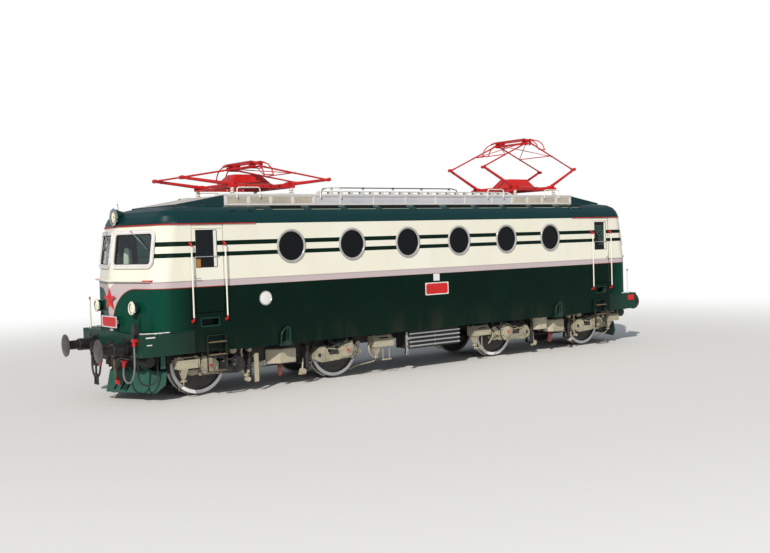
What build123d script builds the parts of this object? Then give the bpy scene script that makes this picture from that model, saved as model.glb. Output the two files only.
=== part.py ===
from build123d import *
import math
import os

# Four-axle electric locomotive with a cab at each end and two diamond pantographs.
# Millimetres. +X is the length, the side seen first is at -Y, and Z is counted from the rail top.
# The wheel flanges reach below the rail top, so save() lifts every piece by the flange's depth.

# Main sizes
HEADSTOCK_X = 7250
BUFFER_FACE_X = 7870
BOGIE_X = 4100
AXLE_DX = 1665
WHEEL_R = 625
FLANGE = 28
HALF_W = 1480
WALL = 50
SEAM = 5

# Levels
SKIRT_Z = 910
LEDGE_Z = 1335
SLAB_Z = (1335, 1395)
CAB_FLOOR_Z = 1650
BELT_Z = 2310
EAVE_Z = 3410
COUPLER_Z = 1050
CLERESTORY_TOP = 4005

# Nose in plan: two facets that run back from a soft ridge to round corners
NOSE_RUN = 0.231
RIDGE_LOW_X = 7242
RIDGE_TOP_X = 7072
CORNER_R = 390
RIDGE_R = 600

# Doors
DOOR_X = (5456, 6134)
DOOR_Z = (1680, 3400)
DOOR_WINDOW_X = (5590, 6051)
DOOR_WINDOW_Z = (2564, 3297)
SIDE_WALL_END = 5446
BULKHEAD_X = 5385

END_SIGNS = (-1, 1)


def block(x, y, z):
    return Pos((x[0] + x[1]) / 2, (y[0] + y[1]) / 2, (z[0] + z[1]) / 2) * Box(
        x[1] - x[0], y[1] - y[0], z[1] - z[0]
    )


def rod(start, end, radius):
    start, end = Vector(*start), Vector(*end)
    plane = Plane(origin=start, z_dir=end - start)
    return extrude(plane * Circle(radius), (end - start).length)


def cone(start, end, radius_start, radius_end):
    start, end = Vector(*start), Vector(*end)
    first = Plane(origin=start, z_dir=end - start)
    last = Plane(origin=end, z_dir=end - start)
    return loft([first * Circle(radius_start), last * Circle(radius_end)])


def pipe(points, bend, radius):
    path = FilletPolyline(*points, radius=bend)
    return sweep(Plane(origin=path @ 0, z_dir=path % 0) * Circle(radius), path=path)


def plate_xz(points, y0, y1):
    plane = Plane(origin=(0, y0, 0), x_dir=(1, 0, 0), z_dir=(0, -1, 0))
    face = plane * make_face(Polyline(*points, close=True))
    return extrude(face, amount=abs(y1 - y0), dir=(0, math.copysign(1, y1 - y0), 0))


def plate_yz(points, x0, x1):
    plane = Plane(origin=(x0, 0, 0), x_dir=(0, 1, 0), z_dir=(1, 0, 0))
    face = plane * make_face(Polyline(*points, close=True))
    return extrude(face, amount=abs(x1 - x0), dir=(math.copysign(1, x1 - x0), 0, 0))


def rounded_plate(points, radius, y0, y1):
    """Plate across Y, its corners in X and Z rounded."""
    plane = Plane(origin=(0, y0, 0), x_dir=(1, 0, 0), z_dir=(0, -1, 0))
    face = plane * make_face(FilletPolyline(*points, radius=radius, close=True))
    return extrude(face, amount=abs(y1 - y0), dir=(0, math.copysign(1, y1 - y0), 0))


def rounded_chest(plan, radius, z0, z1, top_chamfer):
    """Upright box with a rounded plan and a chamfered lid."""
    face = Plane(origin=(0, 0, z0)) * make_face(FilletPolyline(*plan, radius=radius, close=True))
    chest = extrude(face, amount=z1 - z0, dir=(0, 0, 1))
    return chamfer(chest.faces().sort_by(Axis.Z)[-1].edges(), top_chamfer)


def turned(outline, origin, axis):
    """Revolve an (along, radius) outline about an axis through origin."""
    aside = Vector(0, 1, 0) if axis[2] else Vector(0, 0, 1)
    plane = Plane(origin=origin, x_dir=axis, z_dir=Vector(*axis).cross(aside))
    face = plane * make_face(Polyline(*outline, close=True))
    return revolve(face, Axis(origin, axis))


def flip_y(shape):
    return mirror(shape, about=Plane.XZ)


def turn_round(shape):
    """The same piece at the other end, on the other side."""
    return Rot(0, 0, 180) * shape


def both_sides(shape):
    return [shape, flip_y(shape)]


def both_ends(shape):
    return [shape, turn_round(shape)]


def four_corners(shape):
    pair = both_sides(shape)
    return pair + [turn_round(s) for s in pair]


def solids_of(shapes):
    found = []
    for shape in shapes:
        found += list(shape.solids())
    return found


def save(name, shapes):
    lifted = [Pos(0, 0, FLANGE) * s for s in solids_of(shapes)]
    whole = lifted[0] if len(lifted) == 1 else Compound(children=lifted)
    export_step(whole, f"parts/{name}.step")


def fuse(shapes):
    whole = shapes[0]
    for shape in shapes[1:]:
        whole = whole + shape
    return whole


# Body shell


def nose_face(ridge_x, z, inset, back_x):
    half = HALF_W - inset
    ridge = -ridge_x + inset * math.hypot(1, NOSE_RUN)
    corner = ridge + NOSE_RUN * half
    outline = FilletPolyline(
        (back_x, -half, z),
        (corner, -half, z),
        (ridge, 0, z),
        (corner, half, z),
        (back_x, half, z),
        radius=[CORNER_R - inset, RIDGE_R - inset, CORNER_R - inset],
    )
    back = Line((back_x, half, z), (back_x, -half, z))
    return make_face(outline.edges() + back.edges())


def nose_solid(inset, back_x):
    lower = extrude(nose_face(RIDGE_LOW_X, LEDGE_Z, inset, back_x), BELT_Z - LEDGE_Z, dir=(0, 0, 1))
    upper = loft(
        [
            nose_face(RIDGE_LOW_X, BELT_Z, inset, back_x),
            nose_face(RIDGE_TOP_X, EAVE_Z, inset, back_x),
        ],
        ruled=True,
    )
    return lower + upper


# Windscreen panes lie on the leaning facets, one each side of the ridge
SCREEN_Y = (105, 1240)
SCREEN_Z = (2660, 3250)
SCREEN_R = 70
SCREEN_FRAME = 80


def screen_plane(side):
    """A plane on the facet at the middle of the pane: x towards the ridge or away, z outwards."""
    lean = (RIDGE_LOW_X - RIDGE_TOP_X) / (EAVE_Z - BELT_Z)
    y = sum(SCREEN_Y) / 2
    z = sum(SCREEN_Z) / 2
    x = -RIDGE_LOW_X + lean * (z - BELT_Z) + NOSE_RUN * y
    across = Vector(NOSE_RUN, side, 0)
    rise = Vector(lean, 0, 1)
    normal = across.cross(rise)
    if normal.X > 0:
        normal = -normal
    return Plane(origin=(x, side * y, z), x_dir=across, z_dir=normal)


def screen_shape(grow, radius):
    width = (SCREEN_Y[1] - SCREEN_Y[0]) * math.hypot(1, NOSE_RUN) + 2 * grow
    height = (SCREEN_Z[1] - SCREEN_Z[0]) * 1.012 + 2 * grow
    return RectangleRounded(width, height, radius)


def screen_prism(side, grow, depth_in, depth_out):
    plane = screen_plane(side).offset(-depth_in)
    return extrude(plane * screen_shape(grow, SCREEN_R + grow), depth_in + depth_out)


def cab_front():
    back_x = -DOOR_X[1] - SEAM
    shell = nose_solid(0, back_x) - nose_solid(WALL, back_x + 1)
    for side in END_SIGNS:
        shell = shell - screen_prism(side, 0, 150, 150)
    return shell


def screen_frames():
    frames = []
    for side in END_SIGNS:
        ring = screen_prism(side, SCREEN_FRAME, 0, 28) - screen_prism(side, 0, 10, 60)
        frames.append(ring)
    return frames


def screen_glass():
    panes = []
    for side in END_SIGNS:
        plane = screen_plane(side).offset(-30)
        panes.append(extrude(plane * screen_shape(0, SCREEN_R), 10))
    return panes


# Six round windows a side, in pairs about the middle
PORT_X = (-3875, -2325, -775, 775, 2325, 3875)
PORT_Z = 2929
PORT_HOLE_R = 300
PORT_RING_R = 350


def side_wall():
    wall = block((-SIDE_WALL_END, SIDE_WALL_END), (-HALF_W, -HALF_W + WALL), (SKIRT_Z, EAVE_Z))
    for x in PORT_X:
        wall = wall - rod((x, -HALF_W - 10, PORT_Z), (x, -HALF_W + WALL + 10, PORT_Z), PORT_HOLE_R)
    return wall


# Panel under each door, with a foothold let into it
STEP_X = (5605, 5985)
STEP_Z = (1420, 1560)
STEP_DEPTH = 130


def port_ring(x, side):
    """Ring round a window: a flat foot, a rounded lip and a groove for the glass."""
    outline = [
        (0, PORT_HOLE_R),
        (0, PORT_RING_R),
        (14, PORT_RING_R),
        (26, PORT_RING_R - 10),
        (30, PORT_RING_R - 24),
        (26, PORT_RING_R - 38),
        (14, PORT_HOLE_R),
    ]
    return turned(outline, (x, side * HALF_W, PORT_Z), (0, side, 0))


def step_panel():
    panel = block(
        (SIDE_WALL_END + SEAM, DOOR_X[1]), (-HALF_W, -HALF_W + WALL), (SKIRT_Z, DOOR_Z[0] - 10)
    )
    pocket_wall = 8
    pocket = block(
        (STEP_X[0] - pocket_wall, STEP_X[1] + pocket_wall),
        (-HALF_W + WALL, -HALF_W + STEP_DEPTH + pocket_wall),
        (STEP_Z[0] - pocket_wall, STEP_Z[1] + pocket_wall),
    )
    hole = block(STEP_X, (-HALF_W - 10, -HALF_W + STEP_DEPTH), STEP_Z)
    return panel + pocket - hole


def bulkhead():
    return block((-BULKHEAD_X - 40, -BULKHEAD_X), (-HALF_W + WALL, HALF_W - WALL), (SLAB_Z[1], EAVE_Z))


# Roof: level outlines, each with its inset at the sides and at the ends
ROOF_LEVELS = [
    # level, side inset, end inset
    (3410, 0, 0),
    (3475, 3, 6),
    (3580, 40, 60),
    (3680, 115, 160),
    (3745, 210, 340),
    (3785, 340, 700),
    (3820, 640, 1150),
    (3850, 1150, 1750),
]
ROOF_SKIN = 45


def roof_outline(z, side_inset, end_inset):
    half = HALF_W - side_inset
    ridge = RIDGE_TOP_X - end_inset
    corner = ridge - NOSE_RUN * half
    corner_r = max(CORNER_R - side_inset, 90)
    points = [
        (-100, -half, z),
        (-corner, -half, z),
        (-ridge, 0, z),
        (-corner, half, z),
        (corner, half, z),
        (ridge, 0, z),
        (corner, -half, z),
        (100, -half, z),
    ]
    radii = [corner_r, RIDGE_R, corner_r, corner_r, RIDGE_R, corner_r]
    outline = FilletPolyline(*points, radius=radii)
    closing = Line(points[-1], points[0])
    return make_face(outline.edges() + closing.edges())


def roof_solid(skin):
    faces = []
    for level, side_inset, end_inset in ROOF_LEVELS:
        z = level if level == EAVE_Z else level - skin
        faces.append(roof_outline(z, side_inset + skin, end_inset + skin))
    return loft(faces, ruled=True)


# Ventilation slots in the shoulders of the roof
SLOT_X = (-3837, -2882, -1934, -990, 0, 990, 1934, 2882, 3837)
SLOT_HALF = 372
SLOT_Z = (3702, 3744)


def roof_shell(roof_outer):
    shell = roof_outer - roof_solid(ROOF_SKIN)
    for side in END_SIGNS:
        y0, y1 = sorted((side * 1190, side * 1420))
        for x in SLOT_X:
            shell = shell - block((x - SLOT_HALF, x + SLOT_HALF), (y0, y1), SLOT_Z)
    return shell


# Louvre casing along the roof, with a ramp down to the roof at each end
CASING_X = 5165
CASING_Y = 1050
RAMP_FOOT_X = 6250
RAMP_FOOT_Z = 3815
POST_X = (2990, 3530, 4070, 4600, 5135)
CASING_RAILS_Z = ((3760, 3815), (3975, 4005))


def clerestory(roof_outer):
    wall = 40
    low = 3700
    casing = block((-CASING_X, CASING_X), (-CASING_Y, CASING_Y), (low, CLERESTORY_TOP))
    hollow = block(
        (-CASING_X + wall, CASING_X - wall),
        (-CASING_Y + wall, CASING_Y - wall),
        (low - 5, CLERESTORY_TOP - 30),
    )
    casing = casing - hollow
    for x in POST_X:
        for sign in END_SIGNS:
            for side in END_SIGNS:
                casing = casing + block(
                    (sign * x - 32, sign * x + 32),
                    (side * CASING_Y - 14, side * CASING_Y + 14),
                    (low, CLERESTORY_TOP),
                )
    for side in END_SIGNS:
        y0, y1 = sorted((side * CASING_Y, side * (CASING_Y + 14)))
        for z0, z1 in CASING_RAILS_Z:
            casing = casing + block((-CASING_X, CASING_X), (y0, y1), (z0, z1))
    for sign in END_SIGNS:
        deck = plate_xz(
            [
                (sign * CASING_X, CLERESTORY_TOP),
                (sign * RAMP_FOOT_X, RAMP_FOOT_Z),
                (sign * RAMP_FOOT_X, RAMP_FOOT_Z - 30),
                (sign * CASING_X, CLERESTORY_TOP - 30),
            ],
            -CASING_Y,
            CASING_Y,
        )
        casing = casing + deck
        for side in END_SIGNS:
            cheek = plate_xz(
                [
                    (sign * CASING_X, CLERESTORY_TOP - 20),
                    (sign * (RAMP_FOOT_X - 20), RAMP_FOOT_Z - 18),
                    (sign * (RAMP_FOOT_X - 20), low),
                    (sign * CASING_X, low),
                ],
                side * CASING_Y,
                side * (CASING_Y - 25),
            )
            casing = casing + cheek
    return casing - roof_outer


# Walkway boards on the casing, and the hoop rails along its edges
BOARD_Y = (640, 790, 940)
BOARD_W = 135
BOARD_T = 25
HOOP_CENTRES = (-4615, -2570, 2390, 4400)
HOOP_HALF = 270

EDGE_PLANK_X = 2850
EDGE_PLANK_Y = (985, 1075)
CLEAT_PITCH = 285
CLEAT_HEIGHT = 45


def edge_plank(side):
    """Upper plank along the edge of the middle stretch, on a row of cleats."""
    y0, y1 = sorted(side * y for y in EDGE_PLANK_Y)
    low = CLERESTORY_TOP + BOARD_T
    top = low + CLEAT_HEIGHT
    plank = block((-EDGE_PLANK_X, EDGE_PLANK_X), (y0, y1), (top, top + 22))
    for i in range(-10, 11):
        x = i * CLEAT_PITCH
        plank = plank + block((x - 35, x + 35), (y0, y1), (low, top))
    return plank


def walkway():
    boards = [edge_plank(side) for side in END_SIGNS]
    for y in BOARD_Y:
        for side in END_SIGNS:
            low, high = sorted((side * y, side * (y + BOARD_W)))
            boards.append(
                block((-CASING_X, CASING_X), (low, high), (CLERESTORY_TOP, CLERESTORY_TOP + BOARD_T))
            )
    return boards


def hoops():
    rails = []
    low, top = CLERESTORY_TOP - 60, CLERESTORY_TOP + 155
    y = -CASING_Y - 42
    for x in HOOP_CENTRES:
        x0, x1 = x - HOOP_HALF, x + HOOP_HALF
        rail = pipe([(x0, y, low), (x0, y, top), (x1, y, top), (x1, y, low)], 60, 12)
        for foot in (x0, x1):
            rail = rail + rod((foot, -CASING_Y, low + 20), (foot, y, low + 20), 9)
        rails.append(rail)
    return rails


# Underframe


def underframe():
    deck = block((-6570, 6570), (-HALF_W + WALL, HALF_W - WALL), SLAB_Z)
    sill = block((-6600, 6600), (-330, 330), (1150, SLAB_Z[0]))
    whole = deck + sill
    for sign in END_SIGNS:
        cx = sign * BOGIE_X
        whole = whole + block((cx - 260, cx + 260), (-1000, 1000), (1080, SLAB_Z[0]))
        whole = whole + rod((cx, 0, 1100), (cx, 0, 720), 110)
        low, high = sorted((sign * 5430, sign * 6780))
        whole = whole + block((low, high), (-1180, 1180), (CAB_FLOOR_Z - 30, CAB_FLOOR_Z))
        for y in (-800, 800):
            whole = whole + block((low, high), (y - 40, y + 40), (LEDGE_Z + 10, CAB_FLOOR_Z - 30))
    return whole


def headstock():
    """Box beam at the -X end: front plate, sides down to the door panels, ledge on top."""
    front = block((-HEADSTOCK_X, -HEADSTOCK_X + 40), (-HALF_W, HALF_W), (SKIRT_Z, LEDGE_Z))
    ledge = block((-HEADSTOCK_X, -6605), (-HALF_W, HALF_W), (LEDGE_Z - 35, LEDGE_Z))
    whole = front + ledge
    for side in END_SIGNS:
        low, high = sorted((side * HALF_W, side * (HALF_W - WALL)))
        whole = whole + block((-HEADSTOCK_X, -DOOR_X[1] - SEAM), (low, high), (SKIRT_Z, LEDGE_Z))
        low, high = sorted((side * 620, side * 680))
        whole = whole + block((-HEADSTOCK_X + 40, -6605), (low, high), (SKIRT_Z + 60, LEDGE_Z - 35))
    return whole


BUFFER_Y = 875


def buffer():
    """One side buffer: foot, sleeve, plunger and a slightly domed head."""
    reach = BUFFER_FACE_X - HEADSTOCK_X
    outline = [
        (0, 0),
        (0, 165),
        (30, 165),
        (30, 130),
        (330, 117),
        (330, 95),
        (reach - 45, 90),
        (reach - 30, 225),
        (reach - 14, 230),
        (reach, 120),
        (reach, 0),
    ]
    return turned(outline, (-HEADSTOCK_X, -BUFFER_Y, COUPLER_Z), (-1, 0, 0))


def coupling():
    """Draw hook with the screw coupling hanging from it."""
    x = -HEADSTOCK_X
    pad = block((x - 25, x), (-130, 130), (COUPLER_Z - 110, COUPLER_Z + 110))
    hook = plate_xz(
        [
            (x - 25, 1010),
            (x - 250, 1010),
            (x - 330, 985),
            (x - 400, 1010),
            (x - 420, 1080),
            (x - 395, 1160),
            (x - 355, 1160),
            (x - 365, 1085),
            (x - 320, 1060),
            (x - 270, 1090),
            (x - 25, 1090),
        ],
        -32,
        32,
    )
    return pad + hook


def screw_coupling():
    x = -HEADSTOCK_X - 320
    pieces = []
    pin = rod((x, -90, 1035), (x, 90, 1035), 24)
    pieces.append(pin)
    for y in (-78, 58):
        pieces.append(block((x - 26, x + 26), (y, y + 20), (700, 1050)))
    pieces.append(rod((x, -80, 715), (x, 80, 715), 34))
    pieces.append(rod((x, 0, 715), (x, 0, 480), 22))
    pieces.append(rod((x, -85, 500), (x, 85, 500), 32))
    for y in (-72, 52):
        pieces.append(block((x - 20, x + 20), (y, y + 20), (330, 500)))
    pieces.append(rod((x, -75, 335), (x, 75, 335), 24))
    return fuse(pieces)


# Plough: a leaning V blade hung from the headstock
PLOUGH_TIP = (-7380, 150)
PLOUGH_TOP = (-7290, 570)
PLOUGH_RUN = 0.553
PLOUGH_SLOTS = (250, 400, 550)
PLOUGH_HANGER_Y = (-780, -420, 420, 780)


def plough_wing():
    along = Vector(PLOUGH_RUN, -1, 0).normalized()
    rise = Vector(PLOUGH_TOP[0] - PLOUGH_TIP[0], 0, PLOUGH_TOP[1] - PLOUGH_TIP[1])
    normal = along.cross(rise)
    if normal.X > 0:
        normal = -normal
    plane = Plane(origin=(PLOUGH_TIP[0], 0, PLOUGH_TIP[1]), x_dir=along, z_dir=normal)
    across_sign = 1 if plane.y_dir.Z > 0 else -1
    height = rise.length
    width = 1235 / along.Y * -1
    low_width = 1040 / along.Y * -1
    chamfer = 175
    corners = [
        (-12, 0),
        (low_width, 0),
        (width, across_sign * chamfer),
        (width, across_sign * height),
        (-12, across_sign * height),
    ]
    blade = extrude(plane * make_face(Polyline(*corners, close=True)), -14)
    for x in PLOUGH_SLOTS:
        slot = Pos(x, across_sign * 150, 0) * Rot(0, 0, across_sign * -28) * RectangleRounded(46, 240, 20)
        blade = blade - extrude(plane * slot, 60, both=True)
    keep = block((-9000, 0), (-2000, 0), (0, 2000))
    return blade & keep


def plough():
    wing = plough_wing()
    whole = wing + flip_y(wing)
    for y in PLOUGH_HANGER_Y:
        x = PLOUGH_TOP[0] + abs(y) * PLOUGH_RUN + 16
        whole = whole + block((x, x + 60), (y - 45, y + 45), (330, 600))
        if x + 60 > -HEADSTOCK_X + 5:
            whole = whole + plate_xz(
                [(x, 560), (x + 60, 560), (-HEADSTOCK_X + 120, SKIRT_Z), (-HEADSTOCK_X + 20, SKIRT_Z)],
                y - 30,
                y + 30,
            )
    return whole


# Ladders below the doors: steps by height
LADDER_X = 5700
LADDER_HALF = 210
LADDER_Z = (510, 1235)
LADDER_STEPS = (525, 845, 1093)


def ladder():
    y0, y1 = -HALF_W - 75, -HALF_W - 25
    whole = block((-LADDER_X - LADDER_HALF, -LADDER_X - LADDER_HALF + 12), (y0, y1), LADDER_Z)
    whole = whole + block((-LADDER_X + LADDER_HALF - 12, -LADDER_X + LADDER_HALF), (y0, y1), LADDER_Z)
    for z in LADDER_STEPS:
        whole = whole + block(
            (-LADDER_X - LADDER_HALF, -LADDER_X + LADDER_HALF), (y0 - 40, y1 + 15), (z - 15, z)
        )
    top = LADDER_Z[1]
    whole = whole + block((-LADDER_X - LADDER_HALF, -LADDER_X + LADDER_HALF), (y0, y1), (top - 12, top))
    for z in (960, 1215):
        for x in (-LADDER_X - LADDER_HALF, -LADDER_X + LADDER_HALF - 12):
            whole = whole + block((x, x + 12), (y1, -HALF_W), (z - 20, z + 20))
    return whole


# Rails
DOOR_RAIL_X = (6174, 5442)
DOOR_RAIL_Z = (1525, 3039)
DOOR_RAIL_Y = 1547
POST_AT = (-7160, 1270)
POST_Z = (1335, 1990)
FRONT_RAIL_Z = 2345
FRONT_RAIL_HALF = 1300
FRONT_RAIL_BRACKETS = (-850, -300, 300, 850)


def door_rail(x):
    low, high = DOOR_RAIL_Z
    return pipe(
        [(-x, -HALF_W, low), (-x, -DOOR_RAIL_Y, low), (-x, -DOOR_RAIL_Y, high), (-x, -HALF_W, high)],
        40,
        15,
    )


def nose_x(y):
    """X of the nose's upright facet at a distance y from the middle."""
    return -RIDGE_LOW_X + NOSE_RUN * abs(y)


def front_rail(nose):
    """Rail across both facets of the nose, its ends turned in, on short brackets."""
    z = FRONT_RAIL_Z
    out = 55
    points = [
        (nose_x(FRONT_RAIL_HALF) + 40, -FRONT_RAIL_HALF - 20, z),
        (nose_x(FRONT_RAIL_HALF) - out, -FRONT_RAIL_HALF, z),
        (nose_x(0) - out * 1.03, 0, z),
        (nose_x(FRONT_RAIL_HALF) - out, FRONT_RAIL_HALF, z),
        (nose_x(FRONT_RAIL_HALF) + 40, FRONT_RAIL_HALF + 20, z),
    ]
    rail = pipe(points, [40, RIDGE_R, 40], 14)
    for y in FRONT_RAIL_BRACKETS:
        rail = rail + rod((nose_x(y) - out, y, z), (nose_x(y) + 20, y, z), 9)
    return rail - nose


def rails(nose):
    pieces = []
    for x in DOOR_RAIL_X:
        pieces += four_corners(door_rail(x))
    pieces += both_ends(rod((*POST_AT, POST_Z[0]), (*POST_AT, POST_Z[1]), 17))
    pieces += both_ends(front_rail(nose))
    for hoop in hoops():
        pieces += both_ends(hoop)
    return pieces


# Lamps
TOP_LAMP = (-7101, 0, 3607)
TOP_LAMP_R = 160
LOW_LAMP = (-7180, -900, 1820)
LOW_LAMP_R = 120


def top_lamp(roof_outer, nose):
    x, y, z = TOP_LAMP
    outline = [(0, 118), (0, 150), (12, 160), (60, 160), (200, 110), (260, 60), (260, 0), (22, 0), (22, 118)]
    lamp = turned(outline, TOP_LAMP, (1, 0, 0))
    foot = block((x + 20, x + 120), (-60, 60), (z - 205, z - 120))
    return (lamp + foot) - roof_outer - nose


def low_lamp(nose):
    outline = [(0, 92), (0, 112), (10, 120), (70, 120), (150, 95), (210, 60), (210, 0), (18, 0), (18, 92)]
    return turned(outline, LOW_LAMP, (1, 0, 0)) - nose


def lamp_lens(at, radius):
    x, y, z = at
    return rod((x + 4, y, z), (x + 16, y, z), radius)


# Cab inside, seen through the windows
def cab_interior():
    desk = plate_xz(
        [
            (-6760, CAB_FLOOR_Z),
            (-6760, 2420),
            (-6560, 2420),
            (-6380, 2330),
            (-6380, 2270),
            (-6500, 2250),
            (-6540, CAB_FLOOR_Z),
        ],
        -1150,
        1150,
    )
    seats = []
    for y in (-560, 560):
        seat = block((-6180, -5760), (y - 220, y + 220), (2080, 2170))
        seat = seat + block((-5830, -5760), (y - 210, y + 210), (2170, 2650))
        seat = seat + rod((-5970, y, CAB_FLOOR_Z), (-5970, y, 2080), 45)
        seats.append(seat)
    return [desk] + seats


def machine_block():
    return block((-4300, 4300), (-650, 650), (SLAB_Z[1], 2900))


# Equipment under the floor between the bogies
COOLER_X = (-738, 780)
COOLER_PIPES_Z = (545, 640, 735, 830)


def midship():
    box = block((-730, 770), (-1370, -880), (487, 900))
    hanger = block((-700, 740), (-1180, -1080), (900, SLAB_Z[0]))
    post = block((-835, -785), (-1400, -1330), (372, 880))
    link = block((-785, -730), (-1385, -1345), (700, 760))
    box = box + hanger + post + link
    for z in COOLER_PIPES_Z:
        box = box + rod((-738, -1400, z), (780, -1400, z), 19)
        for x in (-700, 20, 740):
            box = box + block((x - 8, x + 8), (-1410, -1370), (z - 26, z + 26))
    return box


BEARER_Y = -HALF_W - 50
BEARER_ARCH = ((-135, 880), (-105, 1140), (15, 1278), (100, 1250), (110, 876))


def side_bearer():
    """Side bearing link: a leaning arch of bar with two rods inside, on a foot and a pad."""
    arch = pipe([(x, BEARER_Y, z) for x, z in BEARER_ARCH], [120, 70, 60], 17)
    whole = arch + block((-90, 118), (-HALF_W - 85, -HALF_W), (SKIRT_Z - 30, SKIRT_Z + 60))
    whole = whole + block((-150, -90), (-HALF_W - 65, -HALF_W), (SKIRT_Z - 30, SKIRT_Z + 20))
    whole = whole + block((10, 90), (BEARER_Y, -HALF_W), (1225, 1262))
    for top, foot in ((30, 5), (75, 62)):
        whole = whole + rod((top, BEARER_Y, 1250), (foot, BEARER_Y, SKIRT_Z + 40), 11)
        whole = whole + rod((foot, BEARER_Y, SKIRT_Z + 60), (foot, BEARER_Y, SKIRT_Z + 105), 22)
    return whole


# Pipes, cocks and sockets on the headstock
COCK_Y = (-330, 840)
COCK_Z = 850
LOOP_PIPE_X = (-7190, -6790)
LOOP_PIPE_Y = -1150
PLUG_HOLDER_Y = (-1080, -640)
PLUG_HOLDER_Z = (852, 878)


def brake_cock(y):
    """Cock on a pipe out of the headstock, its outlet pointing down to the hose."""
    x = -HEADSTOCK_X
    cock = rod((x + 20, y, COCK_Z), (x - 100, y, COCK_Z), 24)
    cock = cock + rod((x - 75, y, COCK_Z + 28), (x - 75, y, COCK_Z - 35), 30)
    return cock + block((x + 5, x + 35), (y - 30, y + 30), (COCK_Z, SKIRT_Z))


def front_fittings():
    x = -HEADSTOCK_X
    socket = block((x - 70, x), (-1300, -1200), (1200, 1335))
    socket = socket + block((x - 55, x + 30), (-1320, -1180), (1335, 1540))
    socket = socket + rod((x - 40, -1250, 1200), (x - 40, -1250, 1120), 36)
    holder = block((x - 85, x + 20), PLUG_HOLDER_Y, PLUG_HOLDER_Z)
    holder = holder + block((x, x + 20), (PLUG_HOLDER_Y[0], -830), (PLUG_HOLDER_Z[1], SKIRT_Z))
    bar = block((x + 40, -6700), (LOOP_PIPE_Y - 25, LOOP_PIPE_Y + 25), (880, 930))
    for loop_x in LOOP_PIPE_X:
        bar = bar + rod((loop_x, LOOP_PIPE_Y, 850), (loop_x, LOOP_PIPE_Y, 880), 24)
    return [socket, holder, bar] + [brake_cock(y) for y in COCK_Y]


# Bogies: the side plates, then the boxes hung on them


FRAME_Y = (-1040, -960)


def sand_box(x0, x1, y0, y1, z0, z1, funnel_x, funnel_z, wheel_x):
    """Sand box: sloped lid with a hand slot, funnel, valve and the pipe down to the wheel."""
    slope = 0.42 * (y1 - y0)
    body = plate_yz(
        [(y0, z0), (y0, z1 - slope), (y0 + slope, z1), (y1, z1), (y1, z0)],
        x0,
        x1,
    )
    slot = Rot(45, 0, 0) * extrude(RectangleRounded(250, 44, 20), 12, both=True)
    body = body - Pos((x0 + x1) / 2 + 30, y0 + slope / 2, z1 - slope / 2) * slot
    middle = (y0 + y1) / 2
    width = min(190, y1 - y0 - 20)
    top = Plane(origin=(funnel_x, middle, z0), z_dir=(0, 0, -1))
    low = Plane(origin=(funnel_x, middle, funnel_z), z_dir=(0, 0, -1))
    box = body + loft([top * Rectangle(width, 190), low * Rectangle(60, 60)])
    valve_z = funnel_z - 45
    box = box + rod((funnel_x, middle, funnel_z), (funnel_x, middle, valve_z - 25), 26)
    box = box + rod((funnel_x - 60, middle, valve_z), (funnel_x + 60, middle, valve_z), 19)
    inward = math.copysign(1, wheel_x - funnel_x)
    end_x = wheel_x - inward * SAND_PIPE_REACH
    box = box + pipe(
        [
            (funnel_x, middle, valve_z - 10),
            (funnel_x + inward * 20, middle + 40, valve_z - 90),
            (end_x - inward * 70, -930, 185),
            (end_x, -790, 105),
        ],
        [60, 60],
        13,
    )
    if y1 < FRAME_Y[0]:
        box = box + block((x0 + 20, x0 + 90), (y1, FRAME_Y[0]), (z0 + 110, z0 + 170))
    return box


# Boxes on the near side of each bogie, in the locomotive's X
SAND_PIPE_REACH = 420
SAND_BOXES = {
    # bogie: rows of x0, x1, y0, y1, z0, z1, funnel x, funnel bottom, wheel x
    1: [
        (-6465, -5985, -1350, -1195, 600, 825, -6315, 400, -BOGIE_X - AXLE_DX),
        (-1668, -1114, -1300, -1040, 600, 848, -1546, 410, -BOGIE_X + AXLE_DX),
    ],
    2: [
        (1352, 1903, -1300, -1040, 600, 830, 1467, 410, BOGIE_X - AXLE_DX),
        (6306, 6725, -1300, -1040, 600, 866, 6400, 430, BOGIE_X + AXLE_DX),
    ],
}
CHESTS = {
    # bogie: rows of plan corners, corner radius, z0, z1
    1: [([(-4390, -1040), (-4115, -1285), (-3717, -1285), (-3717, -1040)], 28, 490, 792)],
    2: [
        ([(3482, -1040), (3482, -1190), (3600, -1288), (3915, -1288), (3915, -1040)], 50, 590, 905),
        ([(3975, -1040), (4120, -1285), (4545, -1285), (4545, -1040)], 28, 490, 800),
    ],
}
DROP_BAR_X = (-4743, -4657)


def side_boxes(bogie):
    boxes = [sand_box(*row) for row in SAND_BOXES[bogie]]
    for plan, radius, z0, z1 in CHESTS[bogie]:
        boxes.append(rounded_chest(plan, radius, z0, z1, 22))
    if bogie == 1:
        bar = block(DROP_BAR_X, (-1330, -1290), (175, 768))
        bar = bar + block(DROP_BAR_X, (-1290, FRAME_Y[0]), (690, 745))
        bar = bar + rod((-4700, -1345, 215), (-4700, -1290, 215), 34)
        boxes.append(bar)
    return boxes


SPRING_DX = 330


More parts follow.
